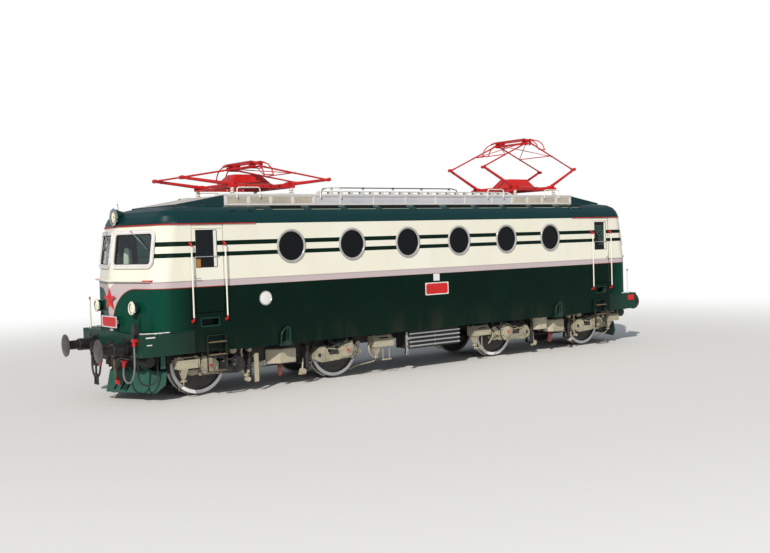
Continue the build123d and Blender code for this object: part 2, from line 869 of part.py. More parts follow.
def bogie_frame():
    """Bogie about x = 0: side plates, transom with pivot hole, end beams, springs, brake gear."""
    side = plate_xz(
        [
            (-2440, 700),
            (-2440, 860),
            (-2150, 960),
            (-900, 960),
            (-600, 900),
            (600, 900),
            (900, 960),
            (2150, 960),
            (2440, 860),
            (2440, 700),
            (2050, 700),
            (1950, 800),
            (1380, 800),
            (1250, 680),
            (700, 560),
            (-700, 560),
            (-1250, 680),
            (-1380, 800),
            (-1950, 800),
            (-2050, 700),
        ],
        FRAME_Y[0],
        FRAME_Y[1],
    )
    whole = side + flip_y(side)
    inner = FRAME_Y[1]
    whole = whole + block((-260, 260), (inner, -inner), (620, 900))
    for sign in END_SIGNS:
        low, high = sorted((sign * 2350, sign * 2440))
        whole = whole + block((low, high), (inner, -inner), (700, 850))
    whole = whole - rod((0, 0, 500), (0, 0, 1000), 130)
    for sx in END_SIGNS:
        for sy in END_SIGNS:
            for dx in (-SPRING_DX, SPRING_DX):
                x = sx * AXLE_DX + dx
                y0, y1 = sorted((sy * 1040, sy * 1190))
                whole = whole + block((x - 85, x + 85), (y0, y1), (870, 900))
                whole = whole + coil_spring((x, sy * 1115, 560), 310)
            whole = whole + brake_pair(sx, sy)
            whole = whole + damper(sx * DAMPER_X, sy)
    for sy in END_SIGNS:
        whole = whole + rod((-BRAKE_LEVER_X, sy * 870, 420), (BRAKE_LEVER_X, sy * 870, 420), 16)
    return whole


def coil_spring(foot, height):
    """Close-wound spring as one turned solid, a bulge for every coil."""
    coils = 7
    pitch = height / coils
    outline = [(0, 0)]
    for i in range(coils):
        low, high = i * pitch, (i + 1) * pitch
        outline += [(low + 2, 52), (low + 10, 68), (high - 10, 68), (high - 2, 52)]
    outline.append((height, 0))
    return turned(outline, foot, (0, 0, 1))


DAMPER_X = 702


def damper(x, sy):
    """Upright damper beside the side plate: bracket, cover tube, body, rod eye and foot arm."""
    y = sy * 1200
    y0, y1 = sorted((sy * 1040, sy * 1200))
    whole = block((x - 40, x + 40), (y0, y1), (770, 810))
    whole = whole + rod((x, y, 520), (x, y, 800), 52)
    whole = whole + rod((x, y, 330), (x, y, 520), 42)
    whole = whole + rod((x, y, 290), (x, y, 330), 20)
    whole = whole + rod((x - 45, y, 275), (x + 45, y, 275), 38)
    whole = whole + block((x - 22, x + 22), (y0, y1), (262, 288))
    return whole + block((x - 22, x + 22), sorted((sy * 1010, sy * 1060)), (262, 600))


BRAKE_LEVER_X = 1000


def brake_pair(sx, sy):
    """Two brake blocks at one wheel, each on its hanger, with the pull lever at the inner one."""
    shapes = []
    y0, y1 = sorted((sy * 722, sy * 800))
    hanger_y = sorted((sy * 745, sy * 775))
    bracket_y = sorted((sy * 745, sy * 960))
    axle = sx * AXLE_DX
    for direction in END_SIGNS:
        shapes.append(block(sorted((axle + direction * 560, axle + direction * 672)), (y0, y1), (470, 770)))
        hanger_x = sorted((axle + direction * 660, axle + direction * 692))
        shapes.append(block(hanger_x, hanger_y, (560, 895)))
        shapes.append(rod((axle + direction * 676, y0 - 8, 620), (axle + direction * 676, y1 + 8, 620), 24))
        shapes.append(block(hanger_x, bracket_y, (855, 895)))
        if direction == -sx:
            lever = sx * BRAKE_LEVER_X
            shapes.append(block((lever - 25, lever + 25), sorted((sy * 722, sy * 960)), (700, 760)))
            shapes.append(block((lever - 14, lever + 14), sorted((sy * 858, sy * 882)), (395, 700)))
    pair = fuse(shapes)
    return pair - rod((axle, -2000, WHEEL_R), (axle, 2000, WHEEL_R), WHEEL_R + 9)


# Axleboxes, drawn for the +Y side. Corners are counted from the axle, towards the bogie's middle.
BOX_Y = (1046, 1250)
HEX_COVER = [(-120, -160), (170, -160), (205, 15), (80, 190), (-150, 190), (-205, -25)]
INNER_ARM = [
    (150, -195),
    (640, -220),
    (800, -155),
    (812, -25),
    (720, 115),
    (560, 128),
    (440, -75),
    (150, -75),
]
OUTER_ARM = [(-150, -170), (-330, -195), (-420, -130), (-420, -75), (-150, -75)]
FORK = [
    (-150, -90),
    (-300, -60),
    (-420, -120),
    (-440, -60),
    (-335, 10),
    (-430, 120),
    (-350, 160),
    (-230, 70),
    (-150, 60),
]


def place_corners(corners, x, inward, scale=1.0):
    return [(x + inward * dx * scale, WHEEL_R + dz * scale) for dx, dz in corners]


def hex_cover(x, inward):
    cover = rounded_plate(place_corners(HEX_COVER, x, inward), 25, BOX_Y[1], 1325)
    cover = cover + rounded_plate(place_corners(HEX_COVER, x, inward, 0.78), 20, 1325, 1350)
    return cover + rod((x, 1350, WHEEL_R), (x, 1370, WHEEL_R), 48)


def drum_cover(x):
    outline = [(0, 0), (0, 212), (42, 212), (58, 196), (58, 150), (90, 138), (108, 70), (108, 0)]
    drum = turned(outline, (x, BOX_Y[1], WHEEL_R), (0, 1, 0))
    rib = block((x - 8, x + 8), (BOX_Y[1] + 40, BOX_Y[1] + 84), (WHEEL_R + 110, WHEEL_R + 206))
    for i in range(8):
        drum = drum + rib.rotate(Axis((x, 0, WHEEL_R), (0, 1, 0)), 22.5 + i * 45)
    return drum


def axlebox(x, inward, round_cover, forked):
    """Axlebox casting with its cover, a spring seat each side, guide links and the outer fork."""
    whole = block((x - 180, x + 180), BOX_Y, (430, 790))
    whole = whole + (drum_cover(x) if round_cover else hex_cover(x, inward))
    whole = whole + rounded_plate(place_corners(INNER_ARM, x, inward), 34, 1060, 1300)
    whole = whole + rounded_plate(place_corners(OUTER_ARM, x, inward), 24, 1060, 1180)
    if forked:
        whole = whole + rounded_plate(place_corners(FORK, x, inward), 16, 1192, 1244)
    for start, end in (((140, 150), (590, 30)), ((150, 20), (560, 70))):
        first = (x + inward * start[0], 1270, WHEEL_R + start[1])
        last = (x + inward * end[0], 1270, WHEEL_R + end[1])
        whole = whole + rod(first, last, 17)
    return whole - rod((x, 900, WHEEL_R), (x, 1200, WHEEL_R), 75)


def axleboxes(bogie):
    """Angular covers on bogie 1's near side and drums on bogie 2's, turned over on the far side."""
    outer_sign = -1 if bogie == 1 else 1
    boxes = []
    for sx in END_SIGNS:
        for sy in END_SIGNS:
            round_cover = (sy < 0) == (bogie == 2)
            forked = round_cover or sx != outer_sign
            box = axlebox(sx * AXLE_DX, -sx, round_cover, forked)
            boxes.append(flip_y(box) if sy < 0 else box)
    return boxes


def motors():
    pieces = []
    for sign in END_SIGNS:
        x = sign * 1030
        motor = rod((x, -540, 640), (x, 540, 640), 345)
        motor = motor - block((x - 400, x + 400), (-600, 600), (0, 330))
        pieces.append(motor - block((x - 400, x + 400), (-600, 600), (950, 1100)))
    return pieces


def wheelset(x):
    tread, rim, web, hub = WHEEL_R, 545, 30, 150
    outline = [
        (680, 0),
        (680, tread + FLANGE),
        (700, tread + FLANGE),
        (716, tread),
        (820, tread),
        (820, rim),
        (775, rim),
        (775, hub),
        (860, hub),
        (860, 0),
    ]
    wheel = turned(outline, (x, 0, WHEEL_R), (0, 1, 0))
    groove = turned([(670, hub), (670, rim), (715, rim), (715, hub)], (x, 0, WHEEL_R), (0, 1, 0))
    wheel = wheel - groove
    axle = rod((x, -1190, WHEEL_R), (x, 1190, WHEEL_R), 74.95)
    gear = rod((x, 570, WHEEL_R), (x, 640, WHEEL_R), 400)
    return wheel + flip_y(wheel) + axle + gear


# Doors, near side at the -X end, hung on three knuckles at the edge next to the bulkhead
HINGE_Z = (1860, 2480, 3100)
HINGE_LENGTH = 140
HINGE_R = 9


def door_leaf():
    y0, y1 = -HALF_W + 5, -HALF_W + 45
    leaf = block((-DOOR_X[1] + SEAM, -DOOR_X[0] - SEAM), (y0, y1), DOOR_Z)
    hole = block((-DOOR_WINDOW_X[1], -DOOR_WINDOW_X[0]), (y0 - 10, y1 + 10), DOOR_WINDOW_Z)
    leaf = leaf - hole
    hinge_x = -DOOR_X[0] - SEAM
    for z in HINGE_Z:
        leaf = leaf + rod((hinge_x, y1, z), (hinge_x, y1, z + HINGE_LENGTH), HINGE_R)
    return leaf


def door_glass():
    y0 = -HALF_W + 18
    return block((-DOOR_WINDOW_X[1], -DOOR_WINDOW_X[0]), (y0, y0 + 8), DOOR_WINDOW_Z)


# Pantographs, about x = 0. Lengths and half spacings of the linkage.
PAN_BASE_X = 662
PAN_TOP_X = 80
PAN_BASE_Z = 4248
PAN_LOWER = 1131
PAN_UPPER = 1727
PAN_SHAFT_Y = 680
PAN_KNEE_Y = 655
PAN_UPPER_Y = 590
LOWERED_DEG = 6.5
HALF_RAISED_DEG = 26.6


def pan_points(lower_deg):
    """Knee and top pivot on the -X side, as (x, z), with the upper arm closing the linkage."""
    a = math.radians(lower_deg)
    knee = (-PAN_BASE_X - PAN_LOWER * math.cos(a), PAN_BASE_Z + PAN_LOWER * math.sin(a))
    run = -PAN_TOP_X - knee[0]
    rise = math.sqrt(PAN_UPPER**2 - run**2)
    return knee, (-PAN_TOP_X, knee[1] + rise)


def pan_lower(lower_deg):
    """Main shaft with its hubs, two tapered arms and the forked knees, on the -X side."""
    knee, top = pan_points(lower_deg)
    shaft_end = PAN_SHAFT_Y + 110
    whole = rod((-PAN_BASE_X, -shaft_end, PAN_BASE_Z), (-PAN_BASE_X, shaft_end, PAN_BASE_Z), 30)
    for side in END_SIGNS:
        y_base, y_knee = side * PAN_SHAFT_Y, side * PAN_KNEE_Y
        whole = whole + cone((-PAN_BASE_X, y_base, PAN_BASE_Z), (knee[0], y_knee, knee[1]), 40, 30)
        whole = whole + rod((-PAN_BASE_X, side * 625, PAN_BASE_Z), (-PAN_BASE_X, side * 738, PAN_BASE_Z), 50)
        whole = whole + rod((knee[0], side * 628, knee[1]), (knee[0], side * 690, knee[1]), 42)
        whole = whole + rod((knee[0], side * 690, knee[1]), (knee[0], side * 704, knee[1]), 24)
        whole = whole + rod((knee[0], side * 545, knee[1]), (knee[0], side * 640, knee[1]), 14)
    return whole


def pan_upper(lower_deg):
    """Upper frame on the -X side: knee eyes, two tubes, cross stay, braces and the top cross tube."""
    knee, top = pan_points(lower_deg)
    whole = rod((top[0], -PAN_UPPER_Y, top[1]), (top[0], PAN_UPPER_Y, top[1]), 20)
    for side in END_SIGNS:
        y = side * PAN_UPPER_Y
        whole = whole + rod((knee[0], y, knee[1]), (top[0], y, top[1]), 19)
        whole = whole + rod((knee[0], side * 565, knee[1]), (knee[0], side * 622, knee[1]), 36)
        whole = whole + rod((top[0], side * 566, top[1]), (top[0], side * 614, top[1]), 28)
    mid = 0.52
    mx, mz = knee[0] + (top[0] - knee[0]) * mid, knee[1] + (top[1] - knee[1]) * mid
    whole = whole + rod((mx, -PAN_UPPER_Y, mz), (mx, PAN_UPPER_Y, mz), 12)
    for side in END_SIGNS:
        whole = whole + rod((mx + 30, side * 560, mz), (top[0], -side * 420, top[1]), 10)
    for side in END_SIGNS:
        bore = rod((knee[0], side * 540, knee[1]), (knee[0], side * 700, knee[1]), 14.05)
        whole = whole - bore
    return whole


# Collector head: two bows side by side, each with a wearing strip on top
BOW_X = (-112, 112)
BOW_HALF_W = 36
BOW_OUTLINE = [(0, 0), (600, 0), (690, -28), (690, -52), (596, -30), (0, -30)]
HORN = [(680, -38), (850, -75), (990, -180), (1060, -330)]


def pan_head(lower_deg):
    """Collector head on two hanger plates: bored for the -X side's tube, slotted for the other."""
    knee, top = pan_points(lower_deg)
    x, z = top
    pan_z = z + 105
    pieces = []
    for side in END_SIGNS:
        for bow_x in BOW_X:
            outline = [(side * y, pan_z + dz) for y, dz in BOW_OUTLINE]
            pieces.append(plate_yz(outline, bow_x - BOW_HALF_W, bow_x + BOW_HALF_W))
            pieces.append(pipe([(bow_x, side * y, pan_z + dz) for y, dz in HORN], [260, 220], 14))
        pieces.append(rod((BOW_X[0], side * 1056, pan_z - 322), (BOW_X[1], side * 1056, pan_z - 322), 12))
        for tie_y in (240, 640):
            pieces.append(rod((BOW_X[0], side * tie_y, pan_z - 18), (BOW_X[1], side * tie_y, pan_z - 18), 9))
        y0, y1 = sorted((side * 480, side * 496))
        low, high = z - 48, pan_z - 8
        plate = rounded_plate([(-150, low), (195, low), (195, high), (-150, high)], 20, y0, y1)
        plate = plate - rod((x, side * 470, z), (x, side * 510, z), 20.05)
        low, high = z - 30, z + 30
        slot = [(15, low), (150, low), (150, high), (15, high)]
        pieces.append(plate - rounded_plate(slot, 28, side * 470, side * 510))
        for bow_x in BOW_X:
            pieces.append(rod((bow_x, side * 488, z + 36), (bow_x, side * 488, pan_z - 30), 22))
    for bow_x in BOW_X:
        pieces.append(block((bow_x - 18, bow_x + 18), (-560, 560), (pan_z, pan_z + 12)))
    return fuse(pieces)


HOOD_FOOT = (1220, 660)
HOOD_TOP = (660, 400)


def pan_base():
    """Base frame on its insulators, with the shaft bearings and the hood between the shafts."""
    top = PAN_BASE_Z - 5
    whole = None
    for side in END_SIGNS:
        y0, y1 = sorted((side * 745, side * 800))
        beam = block((-800, 800), (y0, y1), (PAN_BASE_Z - 75, top))
        for x in (-400, 0, 400):
            beam = beam - rod((x, side * 700, PAN_BASE_Z - 40), (x, side * 850, PAN_BASE_Z - 40), 22)
        for sx in END_SIGNS:
            bearing_x = sx * PAN_BASE_X
            cheek = [
                (bearing_x - 75, top - 20),
                (bearing_x + 75, top - 20),
                (bearing_x + 42, top + 60),
                (bearing_x - 42, top + 60),
            ]
            beam = beam + rounded_plate(cheek, 14, y0, y1)
        whole = beam if whole is None else whole + beam
    for x in (-780, 780):
        whole = whole + block((x - 20, x + 20), (-745, 745), (PAN_BASE_Z - 75, PAN_BASE_Z - 50))
    for x in (-500, 500):
        whole = whole + block((x - 20, x + 20), (-745, 745), (PAN_BASE_Z - 75, PAN_BASE_Z - 30))
    foot = Plane(origin=(0, 0, PAN_BASE_Z - 30)) * RectangleRounded(*HOOD_FOOT, 60)
    crown = Plane(origin=(0, 0, PAN_BASE_Z + 245)) * RectangleRounded(*HOOD_TOP, 60)
    whole = whole + loft([foot, crown], ruled=True)
    for sx in END_SIGNS:
        whole = whole - rod((sx * PAN_BASE_X, -900, PAN_BASE_Z), (sx * PAN_BASE_X, 900, PAN_BASE_Z), 30.05)
    return whole


def insulator(x, y):
    base = CLERESTORY_TOP + BOARD_T
    top = PAN_BASE_Z - 75
    height = top - base
    outline = [(0, 0), (0, 60), (20, 60), (30, 34)]
    for i in range(2):
        z = 40 + i * 45
        outline += [(z, 34), (z + 8, 58), (z + 20, 34)]
    outline += [(height - 15, 34), (height - 15, 45), (height, 45), (height, 0)]
    return turned(outline, (x, y, base), (0, 0, 1))


# Free hoses and the heating cable at the -X end, routes chosen by hand
HOSE_ROUTES = {
    # name: (diameter, points)
    "heating_cable": (
        36,
        [
            (-7290, -1250, 1120),
            (-7290, -1250, 990),
            (-7295, -1256, 790),
            (-7302, -1235, 600),
            (-7306, -1130, 450),
            (-7306, -960, 390),
            (-7304, -790, 420),
            (-7300, -690, 545),
            (-7295, -725, 690),
        ],
    ),
    "corner_hose": (
        34,
        [
            (-7190, -1150, 850),
            (-7190, -1150, 735),
            (-7188, -1152, 600),
            (-7190, -1153, 470),
            (-7114, -1155, 365),
            (-6990, -1157, 325),
            (-6866, -1155, 365),
            (-6790, -1153, 470),
            (-6792, -1152, 600),
            (-6790, -1150, 735),
            (-6790, -1150, 850),
        ],
    ),
    "near_brake_hose": (
        42,
        [
            (-7325, -330, 815),
            (-7325, -330, 740),
            (-7330, -352, 650),
            (-7338, -400, 560),
            (-7342, -460, 480),
        ],
    ),
    "far_brake_hose": (
        42,
        [
            (-7325, 840, 815),
            (-7325, 840, 700),
            (-7328, 842, 560),
            (-7336, 763, 430),
            (-7340, 626, 369),
            (-7342, 479, 400),
            (-7344, 379, 511),
            (-7345, 343, 646),
        ],
    ),
}


def hose(name):
    diameter, points = HOSE_ROUTES[name]
    runs = [(Vector(*b) - Vector(*a)).length for a, b in zip(points, points[1:])]
    radii = []
    for i in range(1, len(points) - 1):
        before = Vector(*points[i]) - Vector(*points[i - 1])
        after = Vector(*points[i + 1]) - Vector(*points[i])
        turn = math.radians(before.get_angle(after))
        radii.append(0.45 * min(runs[i - 1], runs[i]) / math.tan(turn / 2))
    path = FilletPolyline(*points, radius=radii)
    return sweep(Plane(origin=path @ 0, z_dir=path % 0) * Circle(diameter / 2), path=path)


def hose_end(name):
    """Where a hose ends, and the direction it points in there."""
    diameter, points = HOSE_ROUTES[name]
    end = Vector(*points[-1])
    return end, (end - Vector(*points[-2])).normalized()


def hose_head(name):
    """Coupling head of a brake hose: neck, round body lying across the neck, and locking lug."""
    end, along = hose_end(name)
    body_centre = end + along * 100
    side = Vector(1, 0, 0)
    neck = rod(tuple(end), tuple(end + along * 70), 27)
    body = rod(tuple(body_centre - side * 26), tuple(body_centre + side * 22), 50)
    face = rod(tuple(body_centre - side * 38), tuple(body_centre), 30)
    lug = rod(tuple(body_centre), tuple(body_centre + along * 80), 16)
    return neck + body + face + lug


def heating_plug():
    """Plug of the heating cable: grip, cone and the rim that sits under its holder."""
    end, along = hose_end("heating_cable")
    grip = rod(tuple(end), tuple(end + along * 45), 30)
    shell = cone(tuple(end + along * 45), tuple(end + along * 125), 34, 62)
    rim = rod(tuple(end + along * 125), tuple(end + along * 150), 68)
    return grip + shell + rim


def main():
    os.makedirs("parts", exist_ok=True)
    roof_outer = roof_solid(0)
    nose = nose_solid(0, -DOOR_X[1] - SEAM)

    save("underframe", [underframe()])
    save("headstocks", both_ends(headstock()))
    save("side_walls", both_sides(side_wall()) + four_corners(step_panel()))
    front = cab_front()
    save("cab_front_1", [front])
    save("cab_front_2", [turn_round(front)])
    save("roof", [roof_shell(roof_outer)])
    save("roof_clerestory", [clerestory(roof_outer)])
    save("roof_walkway", walkway())

    rings, panes = [], []
    for x in PORT_X:
        for side in END_SIGNS:
            rings.append(port_ring(x, side))
            panes.append(rod((x, side * (HALF_W - 30), PORT_Z), (x, side * (HALF_W - 20), PORT_Z), PORT_HOLE_R))
    frames = screen_frames()
    glass = screen_glass()
    save("window_frames", rings + frames + [turn_round(f) for f in frames])
    lenses = both_ends(lamp_lens(TOP_LAMP, 118))
    for lens in both_sides(lamp_lens(LOW_LAMP, 92)):
        lenses += both_ends(lens)
    save("glazing", panes + glass + [turn_round(g) for g in glass] + lenses)

    buffers = []
    for b in both_sides(buffer()):
        buffers += both_ends(b)
    save("buffers", buffers)
    save("draw_hooks", both_ends(coupling() + screw_coupling()))
    save("ploughs", both_ends(plough()))
    save("ladders", four_corners(ladder()))
    save("handrails", rails(nose))
    lamps = both_ends(top_lamp(roof_outer, nose))
    low = low_lamp(nose)
    for lamp in both_sides(low):
        lamps += both_ends(lamp)
    save("headlamps", lamps)
    interior = [bulkhead()] + cab_interior()
    save("cab_interiors", interior + [turn_round(s) for s in interior])
    save("machine_room_block", [machine_block()])
    save("midship_equipment", both_ends(midship()))
    bearers = [Pos(sign * BOGIE_X, 0, 0) * side_bearer() for sign in END_SIGNS]
    save("side_bearers", bearers + [turn_round(b) for b in bearers])
    save("front_fittings", front_fittings())

    for number, sign in ((1, -1), (2, 1)):
        place = Pos(sign * BOGIE_X, 0, 0)
        save(f"bogie_{number}_frame", [place * bogie_frame()])
        save(f"bogie_{number}_axleboxes", [place * a for a in axleboxes(number)])
        save(f"bogie_{number}_motors", [place * m for m in motors()])
    near_1, near_2 = side_boxes(1), side_boxes(2)
    save("bogie_1_sandboxes", near_1 + [turn_round(b) for b in near_2])
    save("bogie_2_sandboxes", near_2 + [turn_round(b) for b in near_1])
    axle_x = [sx * BOGIE_X + dx for sx in END_SIGNS for dx in (-AXLE_DX, AXLE_DX)]
    for number, x in enumerate(axle_x, 1):
        save(f"wheelset_{number}", [wheelset(x)])

    leaf, pane = door_leaf(), door_glass()
    placed = {
        "door_1_near": lambda s: s,
        "door_1_far": flip_y,
        "door_2_near": lambda s: mirror(s, about=Plane.YZ),
        "door_2_far": turn_round,
    }
    for name, move in placed.items():
        save(name, [move(leaf)])
        save(name + "_glass", [move(pane)])

    bases = []
    insulators = []
    for sign in END_SIGNS:
        bases.append(Pos(sign * BOGIE_X, 0, 0) * pan_base())
        for x in (-720, 720):
            for y in (-770, 770):
                insulators.append(insulator(sign * BOGIE_X + x, y))
    save("pantograph_bases", bases)
    save("roof_insulators", insulators)
    for number, sign, degrees in ((1, -1, LOWERED_DEG), (2, 1, HALF_RAISED_DEG)):
        place = Pos(sign * BOGIE_X, 0, 0)
        lower, upper, head = pan_lower(degrees), pan_upper(degrees), pan_head(degrees)
        save(f"pantograph_{number}_lower_a", [place * lower])
        save(f"pantograph_{number}_lower_b", [place * mirror(lower, about=Plane.YZ)])
        save(f"pantograph_{number}_upper_a", [place * upper])
        save(f"pantograph_{number}_upper_b", [place * mirror(upper, about=Plane.YZ)])
        save(f"pantograph_{number}_head", [place * head])

    for name in HOSE_ROUTES:
        save(name, [hose(name)])
    save("near_hose_head", [hose_head("near_brake_hose")])
    save("far_hose_head", [hose_head("far_brake_hose")])
    save("heating_plug", [heating_plug()])


main()
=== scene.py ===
import math

import bmesh
import bpy
from mathutils import Matrix, Vector


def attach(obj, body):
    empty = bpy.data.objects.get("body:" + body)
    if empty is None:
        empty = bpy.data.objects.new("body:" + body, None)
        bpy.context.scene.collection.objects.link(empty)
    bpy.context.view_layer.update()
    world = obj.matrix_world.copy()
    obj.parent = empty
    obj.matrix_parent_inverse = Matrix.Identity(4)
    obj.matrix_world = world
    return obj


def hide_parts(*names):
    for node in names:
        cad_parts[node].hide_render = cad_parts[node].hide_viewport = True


# Four-axle electric locomotive. Metres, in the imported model's frame: +X along the length,
# the cab seen in front at -X, the side seen at -Y. Heights in this file are counted from the
# rail top, and RAIL lifts them over the wheel flanges, which reach below it.

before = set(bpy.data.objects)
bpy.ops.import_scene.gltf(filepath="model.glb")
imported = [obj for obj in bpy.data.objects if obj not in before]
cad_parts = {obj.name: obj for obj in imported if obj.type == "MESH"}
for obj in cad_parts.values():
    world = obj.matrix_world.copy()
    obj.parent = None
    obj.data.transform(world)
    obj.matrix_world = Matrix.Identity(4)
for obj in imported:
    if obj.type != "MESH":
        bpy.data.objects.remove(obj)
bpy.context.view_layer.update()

RAIL = 0.028
HALF_W = 1.48
LEAF_X = (5.44, 6.14)
EAVE_Z = 3.41
BELT_Z = (2.19, 2.31)
STRIPES_Z = ((2.773, 2.860), (2.990, 3.081))
STRIPE_END_X = 6.85
SWOOP_R = 0.75
SWOOP_Y = 0.085
PORT_X = (-3.875, -2.325, -0.775, 0.775, 2.325, 3.875)
PORT_Z = 2.929
BOGIE_X = 4.1
AXLE_DX = 1.665
WHEEL_R = 0.625
NOSE_RUN = 0.231
SLOT_X = (-3.837, -2.882, -1.934, -0.990, 0.0, 0.990, 1.934, 2.882, 3.837)
LAST_SLOT_X = 4.856
RIDGE_LOW_X = 7.242
RIDGE_TOP_X = 7.072

# Signs of the two sides, and of the two ends
BOTH = (-1, 1)
# What x and y are multiplied by for a twin: half-turned, across, or at the other end
TURNED = (-1, -1)
OTHER_SIDE = (1, -1)
OTHER_END = (-1, 1)
ALL_CORNERS = (OTHER_SIDE, OTHER_END, TURNED)

# Colours, linear
PAINT_GREEN = (0.0008, 0.0125, 0.0072)
# The side's green lightened for the nose: painted light
LIT_NOSE_GREEN = (0.0020, 0.0480, 0.0290)
ROOF_GREEN = (0.0008, 0.0290, 0.0320)
ROOF_SHADOW = (0.03, 0.035, 0.032)
PLOUGH_GREEN = (0.003, 0.075, 0.055)
CREAM = (0.78, 0.765, 0.67)
OFF_WHITE = (0.74, 0.71, 0.69)
BELT_PINK = (0.50, 0.42, 0.43)
DARK_RED = (0.27, 0.022, 0.018)
SIGNAL_RED = (0.55, 0.013, 0.013)
SEAT_BROWN = (0.30, 0.115, 0.02)
SEAT_COVER = (0.72, 0.70, 0.62)
DESK_TOP = (0.02, 0.022, 0.020)
BULKHEAD = (0.035, 0.045, 0.040)
LINING = (0.045, 0.055, 0.048)
BEIGE = (0.43, 0.39, 0.285)
LOUVRE_BEIGE = (0.625, 0.572, 0.495)
LOUVRE_GREY = (0.56, 0.56, 0.60)
DECK = (0.56, 0.55, 0.52)
DECK_EDGE = (0.68, 0.64, 0.60)
RING_GREY = (0.36, 0.35, 0.345)
PIPE_GREY = (0.30, 0.32, 0.33)
BLACK = (0.008, 0.008, 0.009)
OIL_BLACK = (0.012, 0.011, 0.010)
# Painted shade for the arm behind the ladder
SHADED_ARM = (0.020, 0.018, 0.016)
CARBON = (0.03, 0.03, 0.033)
FACE_STEEL = ((0.040, 0.036, 0.033), (0.085, 0.080, 0.076))
TREAD_STEEL = (0.32, 0.30, 0.285)
WHEEL_DARK = ((0.022, 0.02, 0.02), (0.07, 0.055, 0.045))
RIM_WHITE = (0.74, 0.75, 0.78)
RIM_DIRT = (0.35, 0.33, 0.31)
DUST = (0.16, 0.12, 0.085)


# Materials


class Shade:
    """One material, with short calls for its nodes."""

    def __init__(self, name, roughness=0.5, metallic=0.0, coat=0.0):
        self.material = bpy.data.materials.new(name)
        self.material.use_nodes = True
        self.tree = self.material.node_tree
        self.tree.nodes.clear()
        self.output = self.tree.nodes.new("ShaderNodeOutputMaterial")
        self.shader = self.tree.nodes.new("ShaderNodeBsdfPrincipled")
        self.tree.links.new(self.shader.outputs[0], self.output.inputs[0])
        self.shader.inputs["Roughness"].default_value = roughness
        self.shader.inputs["Metallic"].default_value = metallic
        self.shader.inputs["Coat Weight"].default_value = coat
        self.shader.inputs["Coat Roughness"].default_value = 0.08

    def feed(self, socket, value):
        if isinstance(value, bpy.types.NodeSocket):
            self.tree.links.new(value, socket)
        elif isinstance(value, (tuple, list)) and len(value) == 3 and socket.type == "RGBA":
            socket.default_value = (*value, 1.0)
        else:
            socket.default_value = value

    def node(self, kind, *values, **settings):
        made = self.tree.nodes.new(kind)
        for key, value in settings.items():
            setattr(made, key, value)
        for index, value in enumerate(values):
            if value is not None:
                self.feed(made.inputs[index], value)
        return made

    def place(self):
        return self.node("ShaderNodeTexCoord").outputs["Object"]

    def axes(self):
        return self.node("ShaderNodeSeparateXYZ", self.place()).outputs

    def off_middle(self, axis):
        """Distance from the middle along one axis."""
        return self.math("ABSOLUTE", self.axes()[axis])

    def folded(self):
        """Distances from the middle along and across, and the height: both ends and sides read alike."""
        x, y, z = self.axes()
        return self.math("ABSOLUTE", x), self.math("ABSOLUTE", y), z

    def facing(self):
        """The three parts of the surface's normal."""
        normal = self.node("ShaderNodeNewGeometry").outputs["Normal"]
        return self.node("ShaderNodeSeparateXYZ", normal).outputs

    def math(self, operation, *values):
        return self.node("ShaderNodeMath", *values, operation=operation).outputs[0]

    def times(self, first, *others):
        for value in others:
            first = self.math("MULTIPLY", first, value)
        return first

    def reach(self, run, rise):
        """Distance from a point, from its two parts."""
        squares = self.math("ADD", self.math("POWER", run, 2.0), self.math("POWER", rise, 2.0))
        return self.math("SQRT", squares)

    def above(self, value, edge, soft=0.0008):
        """0 below the edge and 1 above it, with a soft step."""
        return self.span(value, edge - soft, edge + soft)

    def below(self, value, edge):
        return self.math("SUBTRACT", 1.0, self.above(value, edge))

    def between(self, value, low, high):
        return self.times(self.above(value, low), self.below(value, high))

    def layer(self, z, low, high):
        """1 between two heights over the rail top."""
        return self.between(z, low + RAIL, high + RAIL)

    def noise(self, scale, detail=5.0, rough=0.6, stretch=(1, 1, 1)):
        spread = self.node("ShaderNodeMapping", self.place())
        spread.inputs["Scale"].default_value = stretch
        made = self.node("ShaderNodeTexNoise", spread.outputs[0])
        made.inputs["Scale"].default_value = scale
        made.inputs["Detail"].default_value = detail
        made.inputs["Roughness"].default_value = rough
        return made.outputs[0]

    def span(self, value, low, high, out_low=0.0, out_high=1.0):
        return self.node("ShaderNodeMapRange", value, low, high, out_low, out_high).outputs[0]

    def patches(self, scale, detail, low, high):
        """Noise that runs from 0 to 1 between two of its values."""
        return self.span(self.noise(scale, detail), low, high)

    def mix(self, factor, first, second):
        made = self.tree.nodes.new("ShaderNodeMix")
        made.data_type = "RGBA"
        self.feed(made.inputs[0], factor)
        self.feed(made.inputs[6], first)
        self.feed(made.inputs[7], second)
        return made.outputs[2]

    def colour(self, value):
        self.feed(self.shader.inputs["Base Color"], value)

    def roughness(self, value):
        self.feed(self.shader.inputs["Roughness"], value)

    def bump(self, height, distance, strength=1.0):
        made = self.node("ShaderNodeBump")
        made.inputs["Strength"].default_value = strength
        made.inputs["Distance"].default_value = distance
        self.feed(made.inputs["Height"], height)
        self.tree.links.new(made.outputs[0], self.shader.inputs["Normal"])

    def worn_edges(self, colour, worn, amount, width=0.012):
        """Lighten the sharp edges, where the bevelled normal leaves the flat one."""
        bevel = self.node("ShaderNodeBevel", width).outputs[0]
        flat = self.node("ShaderNodeNewGeometry").outputs["Normal"]
        apart = self.node("ShaderNodeVectorMath", bevel, flat, operation="DOT_PRODUCT").outputs["Value"]
        edge = self.span(apart, 0.985, 0.80)
        return self.mix(self.times(edge, self.patches(34.0, 6.0, 0.45, 0.62), amount), colour, worn)


def scaled(colour, factor, lift=0.0):
    return tuple(c * factor + lift for c in colour)


def lightened(colour, factor, lift=0.0):
    return tuple(min(1.0, c) for c in scaled(colour, factor, lift))


